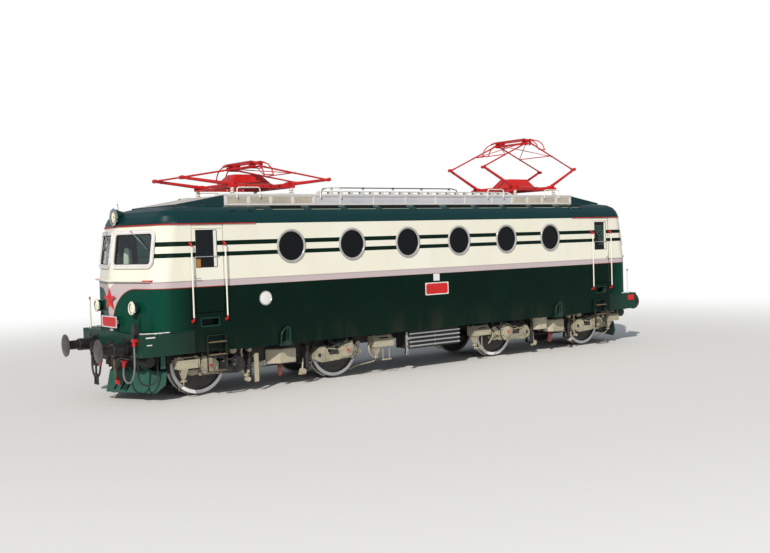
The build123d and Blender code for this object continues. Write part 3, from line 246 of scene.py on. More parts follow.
def painted(
    name, colour, roughness=0.35, coat=0.25, tint=0.10, grime=0.0, chips=0.35, chip_colour=None, zones=None
):
    """Brushed-on enamel: slow changes of tone, orange peel, worn edges, and zones of other colours."""
    shade = Shade(name, roughness, coat=coat)
    shade.shader.inputs["Specular IOR Level"].default_value = 0.35
    darker = scaled(colour, 1 - 2.2 * tint)
    base = shade.mix(shade.patches(1.7, 4.0, 0.3, 0.7), darker, lightened(colour, 1 + tint))
    if zones:
        base = zones(shade, base)
    if grime:
        low = shade.span(shade.axes()[2], 1.3 + RAIL, 0.15 + RAIL)
        base = shade.mix(shade.times(low, shade.patches(9.0, 8.0, 0.35, 0.75), grime), base, DUST)
    if chips:
        base = shade.worn_edges(base, chip_colour or lightened(colour, 1.8, 0.02), chips)
    shade.colour(base)
    shade.roughness(shade.span(shade.noise(6.0, 6.0), 0.3, 0.75, roughness * 0.8, min(1.0, roughness * 1.35)))
    shade.bump(shade.noise(90.0, 3.0), 0.0006, 0.25)
    return shade.material


def rail_zones(shade, base):
    """Red ends on the pale rails and posts."""
    along, across, z = shade.folded()
    end_of_rail = shade.math("SUBTRACT", 1.0, shade.layer(z, 1.60, 2.97))
    red = shade.times(shade.above(across, 1.47), end_of_rail)
    post = shade.times(shade.above(along, 7.0), shade.layer(z, 1.93, 2.10))
    front = shade.times(shade.above(across, 1.15), shade.layer(z, 2.30, 2.42), shade.above(along, 6.6))
    red = shade.math("MAXIMUM", red, shade.math("MAXIMUM", post, front))
    return shade.mix(red, base, SIGNAL_RED)


def roof_zones(shade, base):
    """Dark underside."""
    return shade.mix(shade.above(shade.facing()[2], -0.2, 0.05), ROOF_SHADOW, base)


def headstock_zones(shade, base):
    """Painted light: lighter towards the nose end and darker towards the body side, as on the wall it meets.
    """
    return shade.mix(shade.span(shade.off_middle(0), 6.15, 6.75), PAINT_GREEN, base)


def gear_zones(shade, base):
    """Painted shade: the arm behind the seen cab's ladder, where the ladder and body shade it, is painted
    near black, and so is its twin at the other end.
    """
    x, y, _ = shade.axes()
    arm = shade.between(shade.math("ABSOLUTE", x), 4.70, 5.565)
    arm = shade.times(arm, shade.above(shade.times(x, y), 0.0))
    spots = shade.patches(9.0, 5.0, 0.60, 0.66)
    arm = shade.times(arm, shade.math("SUBTRACT", 1.0, shade.times(spots, 0.7)))
    return shade.mix(arm, base, SHADED_ARM)


def frame_zones(shade, base):
    """The rings of the round windows are grey, the windscreen frames off-white."""
    return shade.mix(shade.above(shade.off_middle(0), 6.0), RING_GREY, base)


def buffer_zones(shade, base):
    """Worn steel on the faces of the buffer heads."""
    wear = shade.mix(shade.patches(5.0, 6.0, 0.35, 0.7), *FACE_STEEL)
    return shade.mix(shade.above(shade.off_middle(0), 7.835), base, wear)


def socket_zones(shade, base):
    """Red neck under the black heating socket."""
    _, y, z = shade.axes()
    neck = shade.times(shade.layer(z, 1.105, 1.262), shade.between(y, -1.31, -1.19))
    return shade.mix(neck, base, SIGNAL_RED)


def casing_zones(shade, base):
    """Pale deck, posts and rails, beige end panels and green ramp cheeks on the grey casing."""
    along, across, z = shade.folded()
    panel = shade.times(shade.between(along, 2.99, 5.135), shade.layer(z, 3.81, 3.98))
    base = shade.mix(panel, base, LOUVRE_BEIGE)
    base = shade.mix(shade.above(across, 1.055, 0.001), base, DECK_EDGE)
    base = shade.mix(shade.above(along, 5.170), base, ROOF_GREEN)
    base = shade.mix(shade.above(shade.facing()[2], 0.5, 0.1), base, DECK)
    return shade.mix(shade.above(along, 6.235), base, ROOF_GREEN)


def cab_zones(shade, base):
    """Brown seats with a pale cover on one, a dark desk top, and bulkheads painted darker as painted shade.
    """
    x, y, z = shade.axes()
    along = shade.math("ABSOLUTE", x)
    seat = shade.times(shade.between(along, 5.74, 6.20), shade.above(z, 2.05 + RAIL))
    turned = shade.times(y, shade.math("SIGN", x))
    cover = shade.times(shade.above(z, 2.22 + RAIL), shade.above(shade.times(turned, -1.0), 0.0))
    desk_top = shade.times(shade.above(along, 6.3), shade.above(z, 2.26 + RAIL))
    base = shade.mix(desk_top, base, DESK_TOP)
    # Painted shade: the bulkheads darker than the rest of the cab
    base = shade.mix(shade.below(along, 5.435), base, BULKHEAD)
    return shade.mix(seat, base, shade.mix(cover, SEAT_BROWN, SEAT_COVER))


def cooler_zones(shade, base):
    """Pale pipes in front of the equipment, whose near-black colour is painted shade."""
    return shade.mix(shade.above(shade.off_middle(1), 1.3765, 0.001), base, PIPE_GREY)


def carbon_zones(top):
    """Black wearing strips over the given height."""

    def zones(shade, base):
        return shade.mix(shade.above(shade.axes()[2], top + 0.0015 + RAIL), base, CARBON)

    return zones


def belt_edge(shade, along, across, z):
    """Height of the belt over the centre of its sweep: round on the nose, level on the side."""
    centre_z = BELT_Z[0] - SWOOP_R + RAIL
    level = shade.math("SUBTRACT", z, centre_z)
    run = shade.math("MAXIMUM", shade.math("SUBTRACT", SWOOP_Y + SWOOP_R, across), 0.0)
    reach = shade.reach(run, shade.math("MAXIMUM", level, 0.0))
    nose = shade.above(along, 6.5)
    side = shade.math("SUBTRACT", 1.0, nose)
    return shade.math("ADD", shade.times(reach, nose), shade.times(level, side))


def ridge_wedge(shade, along, across, z):
    """A small white wedge hanging from the cream into the belt at the ridge, with a stem to the star."""
    wedge_edge = shade.math("SUBTRACT", z, shade.times(across, 0.72))
    stem = shade.times(shade.above(z, 2.03 + RAIL), shade.below(across, 0.022))
    wedge = shade.math("MAXIMUM", shade.above(wedge_edge, BELT_Z[1] - 0.13 + RAIL), stem)
    return shade.times(wedge, shade.above(along, 6.9))


def inward_faces(shade):
    """0 on the faces that look into the body."""
    x, y, _ = shade.axes()
    facing = shade.facing()
    middle = shade.node("ShaderNodeClamp", x, -5.8, 5.8).outputs[0]
    lengthways = shade.times(facing[0], shade.math("SUBTRACT", x, middle))
    outwards = shade.math("ADD", lengthways, shade.times(facing[1], y))
    return shade.above(outwards, -0.05, 0.02)


def livery():
    """Body sides and nose: cream over green, two stripes, and the belt that sweeps down the nose."""
    shade = Shade("livery", 0.3, coat=0.04)
    shade.shader.inputs["Specular IOR Level"].default_value = 0.11
    along, across, z = shade.folded()
    edge = belt_edge(shade, along, across, z)
    belt = shade.above(edge, SWOOP_R)

    green = shade.mix(shade.patches(0.9, 4.0, 0.3, 0.7), scaled(PAINT_GREEN, 0.72), PAINT_GREEN)
    # Painted light: the green turns lighter round the nose than on the side
    green = shade.mix(shade.span(along, 6.15, 6.75), green, LIT_NOSE_GREEN)
    streaks = shade.span(shade.noise(2.2, 8.0, stretch=(1, 1, 0.12)), 0.48, 0.78)
    low = shade.span(z, 1.45 + RAIL, 0.95 + RAIL)
    green = shade.mix(shade.times(streaks, low, 0.16), green, DUST)
    warm = tuple(c * f for c, f in zip(CREAM, (0.97, 0.955, 0.90)))
    pale = shade.mix(shade.patches(0.8, 4.0, 0.3, 0.7), warm, CREAM)
    pale = shade.mix(shade.times(streaks, 0.07), pale, DUST)

    colour = shade.mix(belt, green, BELT_PINK)
    colour = shade.mix(shade.between(edge, SWOOP_R - 0.010, SWOOP_R + 0.004), colour, DARK_RED)
    colour = shade.mix(shade.above(z, BELT_Z[1] + RAIL), colour, pale)
    top_line = shade.layer(z, BELT_Z[1] - 0.004, BELT_Z[1] + 0.008)
    colour = shade.mix(top_line, colour, scaled(BELT_PINK, 0.8))
    colour = shade.mix(shade.times(ridge_wedge(shade, along, across, z), belt), colour, pale)
    for bottom, top in STRIPES_Z:
        stripe = shade.times(shade.layer(z, bottom, top), shade.below(along, STRIPE_END_X))
        colour = shade.mix(stripe, colour, PAINT_GREEN)
    shade.colour(shade.mix(inward_faces(shade), LINING, colour))
    shade.roughness(shade.span(shade.noise(5.0, 6.0), 0.3, 0.75, 0.22, 0.38))
    shade.bump(shade.noise(1.6, 2.0, stretch=(1, 1, 0.6)), 0.012, 0.10)
    return shade.material


def cast_metal(name, colour, roughness=0.6, oil=0.5, zones=None):
    """Dusty cast and forged running gear with oil stains."""
    shade = Shade(name, roughness)
    base = shade.mix(shade.patches(7.0, 7.0, 0.35, 0.7), scaled(colour, 0.62), colour)
    stains = shade.span(shade.noise(3.1, 9.0, 0.7), 0.50, 0.72)
    base = shade.mix(shade.times(stains, oil), base, OIL_BLACK)
    base = shade.worn_edges(base, lightened(colour, 1.5, 0.04), 0.5, 0.010)
    if zones:
        base = zones(shade, base)
    shade.colour(base)
    shade.roughness(shade.span(stains, 0.0, 1.0, roughness, 0.35))
    shade.bump(shade.noise(60.0, 6.0), 0.002, 0.35)
    return shade.material


def wheel_paint(x):
    """Steel wheel: white tyre side, dark centre, and a bright worn tread."""
    shade = Shade("wheel", 0.45)
    along, across, z = shade.axes()
    run = shade.math("SUBTRACT", along, x)
    reach = shade.reach(run, shade.math("SUBTRACT", z, WHEEL_R + RAIL))
    outer_face = shade.above(shade.math("ABSOLUTE", across), 0.812)
    ring = shade.times(shade.between(reach, 0.502, 0.614), outer_face)
    dirt = shade.patches(14.0, 8.0, 0.35, 0.8)
    dark = shade.mix(dirt, *WHEEL_DARK)
    white = shade.mix(shade.times(dirt, 0.35), RIM_WHITE, RIM_DIRT)
    tread = shade.above(reach, 0.622)
    shade.colour(shade.mix(tread, shade.mix(ring, dark, white), TREAD_STEEL))
    shade.feed(shade.shader.inputs["Metallic"], shade.times(tread, 0.9))
    shade.roughness(shade.mix(tread, (0.5, 0.5, 0.5), (0.25, 0.25, 0.25)))
    shade.bump(shade.noise(70.0, 4.0), 0.001, 0.3)
    return shade.material


def rubber(name, colour):
    shade = Shade(name, 0.62)
    shade.colour(shade.mix(shade.patches(22.0, 6.0, 0.3, 0.75), colour, scaled(colour, 1.7, 0.01)))
    shade.bump(shade.noise(140.0, 3.0), 0.0008, 0.3)
    return shade.material


def glass(name, colour, lens=None, port=None):
    """Thin tinted glass; the same node also holds the lamps' lenses and the darker round windows."""
    shade = Shade(name, 0.02)
    shade.shader.inputs["Base Color"].default_value = (0.0, 0.0, 0.0, 1.0)
    shade.shader.inputs["IOR"].default_value = 1.5
    smears = shade.patches(6.0, 6.0, 0.4, 0.8)
    tint = shade.mix(shade.times(smears, 0.25), colour, scaled(colour, 0.7))
    x, y, z = shade.axes()
    along = shade.math("ABSOLUTE", x)
    if port:
        tint = shade.mix(shade.above(along, 5.0), port, tint)
    if lens:
        window = shade.layer(z, 2.5, 3.4)
        lamp = shade.times(shade.above(along, 6.9), shade.math("SUBTRACT", 1.0, window))
        tint = shade.mix(lamp, tint, lens)
        ribs = shade.math("SINE", shade.times(y, 260.0))
        shade.bump(shade.times(ribs, lamp), 0.002, 0.5)
    clear = shade.node("ShaderNodeBsdfTransparent", tint)
    both = shade.node("ShaderNodeAddShader", shade.shader.outputs[0], clear.outputs[0])
    shade.tree.links.new(both.outputs[0], shade.output.inputs[0])
    return shade.material


def chrome():
    shade = Shade("chrome", 0.12, 1.0)
    shade.colour((0.80, 0.80, 0.80))
    shade.roughness(shade.span(shade.noise(12.0, 5.0), 0.3, 0.8, 0.06, 0.22))
    return shade.material


def porcelain():
    shade = Shade("porcelain", 0.15, coat=0.6)
    shade.colour(shade.mix(shade.patches(20.0, 6.0, 0.5, 0.8), (0.74, 0.70, 0.64), (0.35, 0.27, 0.20)))
    return shade.material


LIVERY = livery()
RUBBER = rubber("seal_black", (0.012, 0.012, 0.013))
WORN_STEEL = cast_metal("worn_steel", (0.13, 0.125, 0.12), 0.42, 0.45)
BULB = painted("bulb", (0.85, 0.80, 0.62), 0.2, 0.5, 0.02)
TREAD = painted("tread_tan", (0.25, 0.17, 0.10), 0.7, 0.0, 0.15)
LOUVRE_WIRE = painted("louvre_wire", (0.60, 0.55, 0.44), 0.5, 0.0, 0.10, chips=0.0)
SLOT_LIP = painted("slot_lip", (0.24, 0.29, 0.23), 0.4, 0.1)
BELT_TRIM = painted("belt_trim", (0.50, 0.42, 0.41), 0.35, 0.2, 0.06)
GREEN = painted("green_enamel", (0.0016, 0.030, 0.019), 0.30, 0.15, grime=0.25)
ROOF = painted("roof_enamel", ROOF_GREEN, 0.28, 0.08, 0.06, zones=roof_zones)
PLOUGH = painted("plough_enamel", PLOUGH_GREEN, 0.42, 0.15, grime=0.3)
LADDER = painted("ladder_enamel", PAINT_GREEN, 0.45, 0.2, grime=0.9)
PALE = painted("cream_enamel", CREAM, 0.32, 0.3, 0.04)
FRAME_WHITE = painted("frame_white", OFF_WHITE, 0.35, 0.3, 0.05)
RED = painted("signal_red", SIGNAL_RED, 0.36, 0.25, 0.10)
WINDOW_FRAMES = painted("window_frames_white", OFF_WHITE, 0.35, 0.2, 0.05, zones=frame_zones)
GUTTER_RED = painted("gutter_red", (0.36, 0.020, 0.016), 0.4, 0.1, 0.08)
RAILS = painted("rail_enamel", CREAM, 0.32, 0.3, 0.04, zones=rail_zones)
CASING = painted("casing_grey", LOUVRE_GREY, 0.5, 0.1, 0.05, zones=casing_zones)
SILVER = painted("walkway_grey", (0.60, 0.59, 0.57), 0.5, 0.1, 0.06)
BLACKING = painted("blacking", BLACK, 0.35, 0.2, 0.10, grime=0.25)
BUFFERS = painted("buffer_black", BLACK, 0.38, 0.1, 0.10, grime=0.25, zones=buffer_zones)
SOCKETS = painted("socket_black", BLACK, 0.35, 0.2, 0.10, zones=socket_zones)
BUFFER_STEEL = cast_metal("buffer_steel", (0.055, 0.052, 0.050), 0.45, 0.5)
RUNNING_GEAR = cast_metal("running_gear_beige", BEIGE, 0.6, 0.65, gear_zones)
# The lighter, lit green of the nose end: painted light
HEADSTOCK = painted(
    "headstock_enamel", (0.0012, 0.036, 0.021), 0.34, 0.02, grime=0.06, zones=headstock_zones
)
BRICK_RED = painted("brick_red", (0.19, 0.040, 0.026), 0.55, 0.0, 0.2, grime=0.4)
VARNISH = painted("varnished_wood", (0.42, 0.17, 0.025), 0.35, 0.3)
DARK_GEAR = cast_metal("running_gear_dark", (0.022, 0.019, 0.017), 0.6, 0.6)
CASE = painted("box_beige", BEIGE, 0.5, 0.1, 0.10, grime=0.4, chip_colour=(0.10, 0.08, 0.06))
# The equipment's near black is painted shade
COOLER = painted("equipment_dark", (0.014, 0.014, 0.014), 0.5, 0.1, grime=0.3, zones=cooler_zones)
INSIDE = painted("cab_grey_green", (0.045, 0.065, 0.055), 0.5, 0.05, zones=cab_zones)
HEAD_LOW = painted("collector_1", SIGNAL_RED, 0.36, 0.3, 0.10, zones=carbon_zones(4.7513))
HEAD_HIGH = painted("collector_2", SIGNAL_RED, 0.36, 0.3, 0.10, zones=carbon_zones(5.5257))
DARK_INSIDE = painted("machine_room", (0.02, 0.025, 0.025), 0.6, 0.0)
# Black for the roof slots' openings: painted shade
SLOT_SHADE_BLACK = painted("slot_shade_black", (0.003, 0.005, 0.005), 0.9, 0.0, chips=0.0)
GLASS = glass("window_glass", (0.90, 0.95, 0.93), (0.97, 0.96, 0.93), (0.10, 0.13, 0.125))
# Lit and shaded copies of one door glass: painted light and shade
LIT_DOOR_GLASS = glass("door_glass", (0.60, 0.65, 0.63))
SHADED_GLASS = glass("shaded_door_glass", (0.16, 0.21, 0.19))
CHROME = chrome()
PORCELAIN = porcelain()
CABLE_GREY = rubber("cable_grey", (0.12, 0.125, 0.125))
HOSE_BLACK = rubber("hose_black", (0.012, 0.014, 0.016))
HOSE_TAN = rubber("hose_tan", (0.26, 0.18, 0.11))

NODE_MATERIALS = {
    "side_walls": LIVERY,
    "cab_front_1": LIVERY,
    "cab_front_2": LIVERY,
    "underframe": DARK_GEAR,
    "headstocks": HEADSTOCK,
    "roof": ROOF,
    "roof_clerestory": CASING,
    "roof_walkway": SILVER,
    "window_frames": WINDOW_FRAMES,
    "glazing": GLASS,
    "buffers": BUFFERS,
    "draw_hooks": DARK_GEAR,
    "ploughs": PLOUGH,
    "ladders": LADDER,
    "handrails": RAILS,
    "headlamps": GREEN,
    "cab_interiors": INSIDE,
    "machine_room_block": DARK_INSIDE,
    "midship_equipment": COOLER,
    "side_bearers": GREEN,
    "front_fittings": SOCKETS,
    "heating_plug": RED,
    "near_hose_head": RED,
    "far_hose_head": RED,
    "pantograph_bases": RED,
    "roof_insulators": PORCELAIN,
    "pantograph_1_head": HEAD_LOW,
    "pantograph_2_head": HEAD_HIGH,
}


def dress(node, material):
    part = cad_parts[node]
    part.data.materials.clear()
    part.data.materials.append(material)


def is_driver_door(number, side):
    """The driver's doors are the photographed cab's near one and its half-turned twin."""
    return (side == "near") == (number == 1)


def dress_nodes():
    for node, material in NODE_MATERIALS.items():
        dress(node, material)
    for number in (1, 2):
        dress(f"bogie_{number}_frame", DARK_GEAR)
        dress(f"bogie_{number}_axleboxes", RUNNING_GEAR)
        dress(f"bogie_{number}_motors", DARK_GEAR)
        dress(f"bogie_{number}_sandboxes", CASE)
        for side in ("near", "far"):
            dress(f"door_{number}_{side}", LIVERY)
            # The driver's doors take the lighter glass, the others its shaded copy: painted light and shade
            pane = LIT_DOOR_GLASS if is_driver_door(number, side) else SHADED_GLASS
            dress(f"door_{number}_{side}_glass", pane)
        for piece in ("lower_a", "lower_b", "upper_a", "upper_b"):
            dress(f"pantograph_{number}_{piece}", RED)
    axles = [-BOGIE_X - AXLE_DX, -BOGIE_X + AXLE_DX, BOGIE_X - AXLE_DX, BOGIE_X + AXLE_DX]
    for number, x in enumerate(axles, 1):
        dress(f"wheelset_{number}", wheel_paint(x))


dress_nodes()


# Cords: the hoses and the cable at the photographed end


def cord(node, points, diameter, material):
    name = node + "_cord"
    curve = bpy.data.curves.new(name, "CURVE")
    curve.dimensions = "3D"
    curve.bevel_depth = diameter / 2
    curve.bevel_resolution = 6
    curve.use_fill_caps = True
    spline = curve.splines.new("NURBS")
    spline.points.add(len(points) - 1)
    for point, (x, y, z) in zip(spline.points, points):
        point.co = (x, y, z + RAIL, 1.0)
    spline.order_u = 3
    spline.use_endpoint_u = True
    spline.resolution_u = 12
    piece = bpy.data.objects.new(name, curve)
    bpy.context.scene.collection.objects.link(piece)
    curve.materials.append(material)
    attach(piece, "body")
    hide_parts(node)
    x, y, z = points[0]


HEATING_CABLE = [
    (-7.290, -1.250, 1.120),
    (-7.290, -1.250, 0.990),
    (-7.295, -1.256, 0.790),
    (-7.302, -1.235, 0.600),
    (-7.306, -1.130, 0.450),
    (-7.306, -0.960, 0.390),
    (-7.304, -0.790, 0.420),
    (-7.300, -0.690, 0.545),
    (-7.295, -0.725, 0.690),
]
CORNER_HOSE = [
    (-7.190, -1.150, 0.850),
    (-7.190, -1.150, 0.735),
    (-7.188, -1.152, 0.600),
    (-7.190, -1.153, 0.470),
    (-7.114, -1.155, 0.365),
    (-6.990, -1.157, 0.325),
    (-6.866, -1.155, 0.365),
    (-6.790, -1.153, 0.470),
    (-6.792, -1.152, 0.600),
    (-6.790, -1.150, 0.735),
    (-6.790, -1.150, 0.850),
]
NEAR_BRAKE_HOSE = [
    (-7.325, -0.330, 0.815),
    (-7.325, -0.330, 0.740),
    (-7.330, -0.352, 0.650),
    (-7.338, -0.400, 0.560),
    (-7.342, -0.460, 0.480),
]
FAR_BRAKE_HOSE = [
    (-7.325, 0.840, 0.815),
    (-7.325, 0.840, 0.700),
    (-7.328, 0.842, 0.560),
    (-7.336, 0.763, 0.430),
    (-7.340, 0.626, 0.369),
    (-7.342, 0.479, 0.400),
    (-7.344, 0.379, 0.511),
    (-7.345, 0.343, 0.646),
]
cord("heating_cable", HEATING_CABLE, 0.036, CABLE_GREY)
cord("corner_hose", CORNER_HOSE, 0.034, HOSE_BLACK)
cord("near_brake_hose", NEAR_BRAKE_HOSE, 0.042, HOSE_TAN)
cord("far_brake_hose", FAR_BRAKE_HOSE, 0.042, HOSE_BLACK)


# Shapes for the added pieces.

# Edges that turn by more than this many degrees stay sharp and take the bevel
SHARP = 38


def circle(sides):
    return [(math.cos(2 * math.pi * i / sides), math.sin(2 * math.pi * i / sides)) for i in range(sides)]


def around(count, radius, start=0):
    """Offsets of equally spaced places on a circle, from a start in degrees."""
    angles = [math.radians(start + 360 / count * i) for i in range(count)]
    return [(radius * math.cos(a), radius * math.sin(a)) for a in angles]


def about(middle, half):
    return middle - half, middle + half


def on_side(side, inner, outer):
    """A span between two distances out to one side, low end first."""
    return sorted((side * inner, side * outer))


def rounded_path(points, radii, steps=8, closed=False):
    """A polyline in a plane with its corners turned into arcs."""
    count = len(points)
    found = []
    for i, point in enumerate(points):
        here = Vector(point)
        if not closed and i in (0, count - 1):
            found.append(here)
            continue
        before = (Vector(points[i - 1]) - here).normalized()
        after = (Vector(points[(i + 1) % count]) - here).normalized()
        half = before.angle(after) / 2
        radius = radii[i] if isinstance(radii, (list, tuple)) else radii
        cut = radius / math.tan(half)
        centre = here + (before + after).normalized() * radius / math.sin(half)
        start = here + before * cut - centre
        end = here + after * cut - centre
        for j in range(steps + 1):
            found.append(centre + start.slerp(end, j / steps).normalized() * radius)
    return found


def rounded_rectangle(width, height, radius, steps=6):
    w, h = width / 2, height / 2
    corners = [(-w, -h), (w, -h), (w, h), (-w, h)]
    return [tuple(p) for p in rounded_path(corners, radius, steps, closed=True)]


class Form:
    """Collects simple solids into one mesh."""

    def __init__(self):
        self.mesh = bmesh.new()

    def ring_of(self, points):
        return [self.mesh.verts.new(p) for p in points]

    def skin(self, rings, closed=False):
        """Join the rings; the ends get caps, or the last ring joins the first."""
        pairs = list(zip(rings, rings[1:]))
        if closed:
            pairs.append((rings[-1], rings[0]))
        for first, second in pairs:
            count = len(first)
            for i in range(count):
                j = (i + 1) % count
                self.mesh.faces.new((first[i], first[j], second[j], second[i]))
        if not closed:
            self.mesh.faces.new(list(reversed(rings[0])))
            self.mesh.faces.new(rings[-1])

    def box(self, x, y, z):
        corners = [(x[i], y[j], z[k]) for k in (0, 1) for i, j in ((0, 0), (1, 0), (1, 1), (0, 1))]
        self.skin([self.ring_of(corners[:4]), self.ring_of(corners[4:])])

    def rod(self, start, end, radius, sides=20, end_radius=None):
        start, end = Vector(start), Vector(end)
        turn = (end - start).to_track_quat("Z", "Y")
        rings = []
        for place, size in ((start, radius), (end, radius if end_radius is None else end_radius)):
            ring = [place + turn @ Vector((size * c, size * s, 0)) for c, s in circle(sides)]
            rings.append(self.ring_of(ring))
        self.skin(rings)

    def lathe(self, outline, origin, axis, sides=48, ring=False):
        """Revolve (along, radius) points; a closed outline gives a ring."""
        turn = Vector(axis).to_track_quat("Z", "Y")
        rings = []
        for along, radius in outline:
            points = [Vector((radius * c, radius * s, along)) for c, s in circle(sides)]
            rings.append(self.ring_of([Vector(origin) + turn @ p for p in points]))
        self.skin(rings, ring)

    def pipe(self, points, radius, sides=12):
        points = [Vector(p) for p in points]
        rings = []
        up = None
        for i, point in enumerate(points):
            ahead = points[min(i + 1, len(points) - 1)] - points[max(i - 1, 0)]
            ahead.normalize()
            if up is None:
                up = ahead.orthogonal().normalized()
            side = ahead.cross(up).normalized()
            up = side.cross(ahead).normalized()
            rings.append(self.ring_of([point + (side * c + up * s) * radius for c, s in circle(sides)]))
        self.skin(rings)

    def plate(self, outline, origin, across, rise, thickness):
        """Extrude a flat outline, given in the plane of across and rise, along their normal."""
        across, rise = Vector(across), Vector(rise)
        normal = across.cross(rise).normalized()
        low = [Vector(origin) + across * u + rise * v for u, v in outline]
        high = [p + normal * thickness for p in low]
        self.skin([self.ring_of(low), self.ring_of(high)])

    def band(self, outer, inner, origin, across, rise, thickness):
        """A flat ring between two outlines with equal numbers of points."""
        across, rise = Vector(across), Vector(rise)
        normal = across.cross(rise).normalized()
        rings = []
        for outline, lift in ((outer, 0.0), (outer, thickness), (inner, thickness), (inner, 0.0)):
            points = [Vector(origin) + across * u + rise * v + normal * lift for u, v in outline]
            rings.append(self.ring_of(points))
        self.skin(rings, closed=True)

    def sweep(self, path, section, level):
        """Run a closed section of (outwards, up) points along a level path, outwards to its left."""
        rings = []
        for i, point in enumerate(path):
            back = point - path[max(i - 1, 0)]
            ahead = path[min(i + 1, len(path) - 1)] - point
            along = (back.normalized() + ahead.normalized()).normalized()
            out = Vector((-along.y, along.x))
            rings.append(self.ring_of([(*(point + out * u), level + v) for u, v in section]))
        self.skin(rings)

    def bolt(self, place, normal, radius=0.012, height=0.010):
        """A hexagon head on a washer."""
        place, normal = Vector(place), Vector(normal)
        self.rod(place, place + normal * height * 0.25, radius * 1.35, 14)
        self.rod(place + normal * height * 0.2, place + normal * height, radius, 6)

    def bolt_ring(self, centre, normal, offsets, radius, height):
        """Bolts round a centre on a face that looks along Y."""
        x, y, z = centre
        for dx, dz in offsets:
            self.bolt((x + dx, y, z + dz), normal, radius, height)

    def helix(self, start, end, radius, wire, turns):
        """A coil spring between two points."""
        start, end = Vector(start), Vector(end)
        turn = (end - start).to_track_quat("Z", "Y")
        count = int(turns * 14)
        points = []
        for i in range(count + 1):
            share = i / count
            a = 2 * math.pi * turns * share
            arm = Vector((radius * math.cos(a), radius * math.sin(a), 0))
            points.append(start + (end - start) * share + turn @ arm)
        self.pipe(points, wire, 6)

    def repeat(self, *flips):
        """Add copies of what is drawn so far, with x and y multiplied by each flip."""
        everything = self.mesh.verts[:] + self.mesh.edges[:] + self.mesh.faces[:]
        for flip in flips:
            for part in bmesh.ops.duplicate(self.mesh, geom=everything)["geom"]:
                if isinstance(part, bmesh.types.BMVert):
                    part.co.x *= flip[0]
                    part.co.y *= flip[1]

    def flip(self, flip):
        """Multiply x and y by the flip."""
        for vert in self.mesh.verts:
            vert.co.x *= flip[0]
            vert.co.y *= flip[1]

    def finish(self, name, material, body="body", bevel=0.0, smooth=True):
        bmesh.ops.recalc_face_normals(self.mesh, faces=self.mesh.faces)
        bmesh.ops.translate(self.mesh, verts=self.mesh.verts, vec=(0, 0, RAIL))
        mesh = bpy.data.meshes.new(name)
        self.mesh.to_mesh(mesh)
        self.mesh.free()
        mesh.materials.append(material)
        piece = bpy.data.objects.new(name, mesh)
        bpy.context.scene.collection.objects.link(piece)
        if bevel:
            soften(piece, bevel)
        if smooth:
            mesh.shade_smooth()
            mesh.set_sharp_from_angle(angle=math.radians(SHARP))
        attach(piece, body)

    def finish_twins(self, name, material, bevel=0.0, smooth=True, flips=(TURNED,)):
        """Finish a piece of the body that stands again at each flip."""
        self.repeat(*flips)
        self.finish(name, material, bevel=bevel, smooth=smooth)


def soften(piece, width):
    edges = piece.modifiers.new("soft_edges", "BEVEL")
    edges.width = width
    edges.segments = 2
    edges.limit_method = "ANGLE"
    edges.angle_limit = math.radians(SHARP)
    edges.harden_normals = False


# Body trim

RIDGE_R = 0.6
CORNER_R = 0.39
LEAN = (RIDGE_LOW_X - RIDGE_TOP_X) / (EAVE_Z - BELT_Z[1])


GUTTER_END_X = 4.713
GUTTER = [(-0.002, 0.0), (0.020, 0.0), (0.022, 0.024), (0.017, 0.024), (0.015, 0.006), (-0.002, 0.006)]


def eave_path(end_x, ridge_x):
    corner = -ridge_x + NOSE_RUN * HALF_W
    points = [(-end_x, -HALF_W), (corner, -HALF_W), (-ridge_x, 0), (corner, HALF_W), (-end_x, HALF_W)]
    return rounded_path(points, [0, CORNER_R, RIDGE_R, CORNER_R, 0], 10)


def gutters():
    """Drip gutter along the eave, round each nose."""
    form = Form()
    form.sweep(eave_path(GUTTER_END_X, RIDGE_TOP_X), GUTTER, EAVE_Z - 0.006)
    form.finish_twins("eave_gutters", GUTTER_RED)


def body_seams():
    """Rounded strips along the belt: its top edge round each nose, both edges along the side."""
    form = Form()
    strip = [(-0.002, -0.007), (0.004, -0.006), (0.006, 0.0), (0.004, 0.006), (-0.002, 0.007)]
    form.sweep(eave_path(LEAF_X[1], RIDGE_LOW_X), strip, BELT_Z[1])
    form.repeat(TURNED)
    for z in BELT_Z:
        form.sweep([Vector((LEAF_X[0], -HALF_W)), Vector((-LEAF_X[0], -HALF_W))], strip, z)
    form.finish_twins("belt_mouldings", BELT_TRIM, flips=[OTHER_SIDE])


SCREEN_Y = 0.6725
SCREEN_Z = 2.955
SCREEN_SIZE = (1.165, 0.597)


def screen_axes(side):
    """Middle of a windscreen pane on its facet, and the directions across, up and outwards."""
    x = -RIDGE_LOW_X + LEAN * (SCREEN_Z - BELT_Z[1]) + NOSE_RUN * SCREEN_Y
    origin = Vector((x, side * SCREEN_Y, SCREEN_Z))
    across = Vector((-side * NOSE_RUN, -1, 0)).normalized()
    rise = Vector((LEAN, 0, 1))
    rise = (rise - across * rise.dot(across)).normalized()
    return origin, across, rise, across.cross(rise).normalized()


def screen_ring(form, side, grow, shrink, radius, lift, thickness):
    origin, across, rise, out = screen_axes(side)
    width, height = SCREEN_SIZE
    outer = rounded_rectangle(width + 2 * grow, height + 2 * grow, radius + grow)
    inner = rounded_rectangle(width - 2 * shrink, height - 2 * shrink, radius - shrink)
    form.band(outer, inner, origin + out * lift, across, rise, thickness)


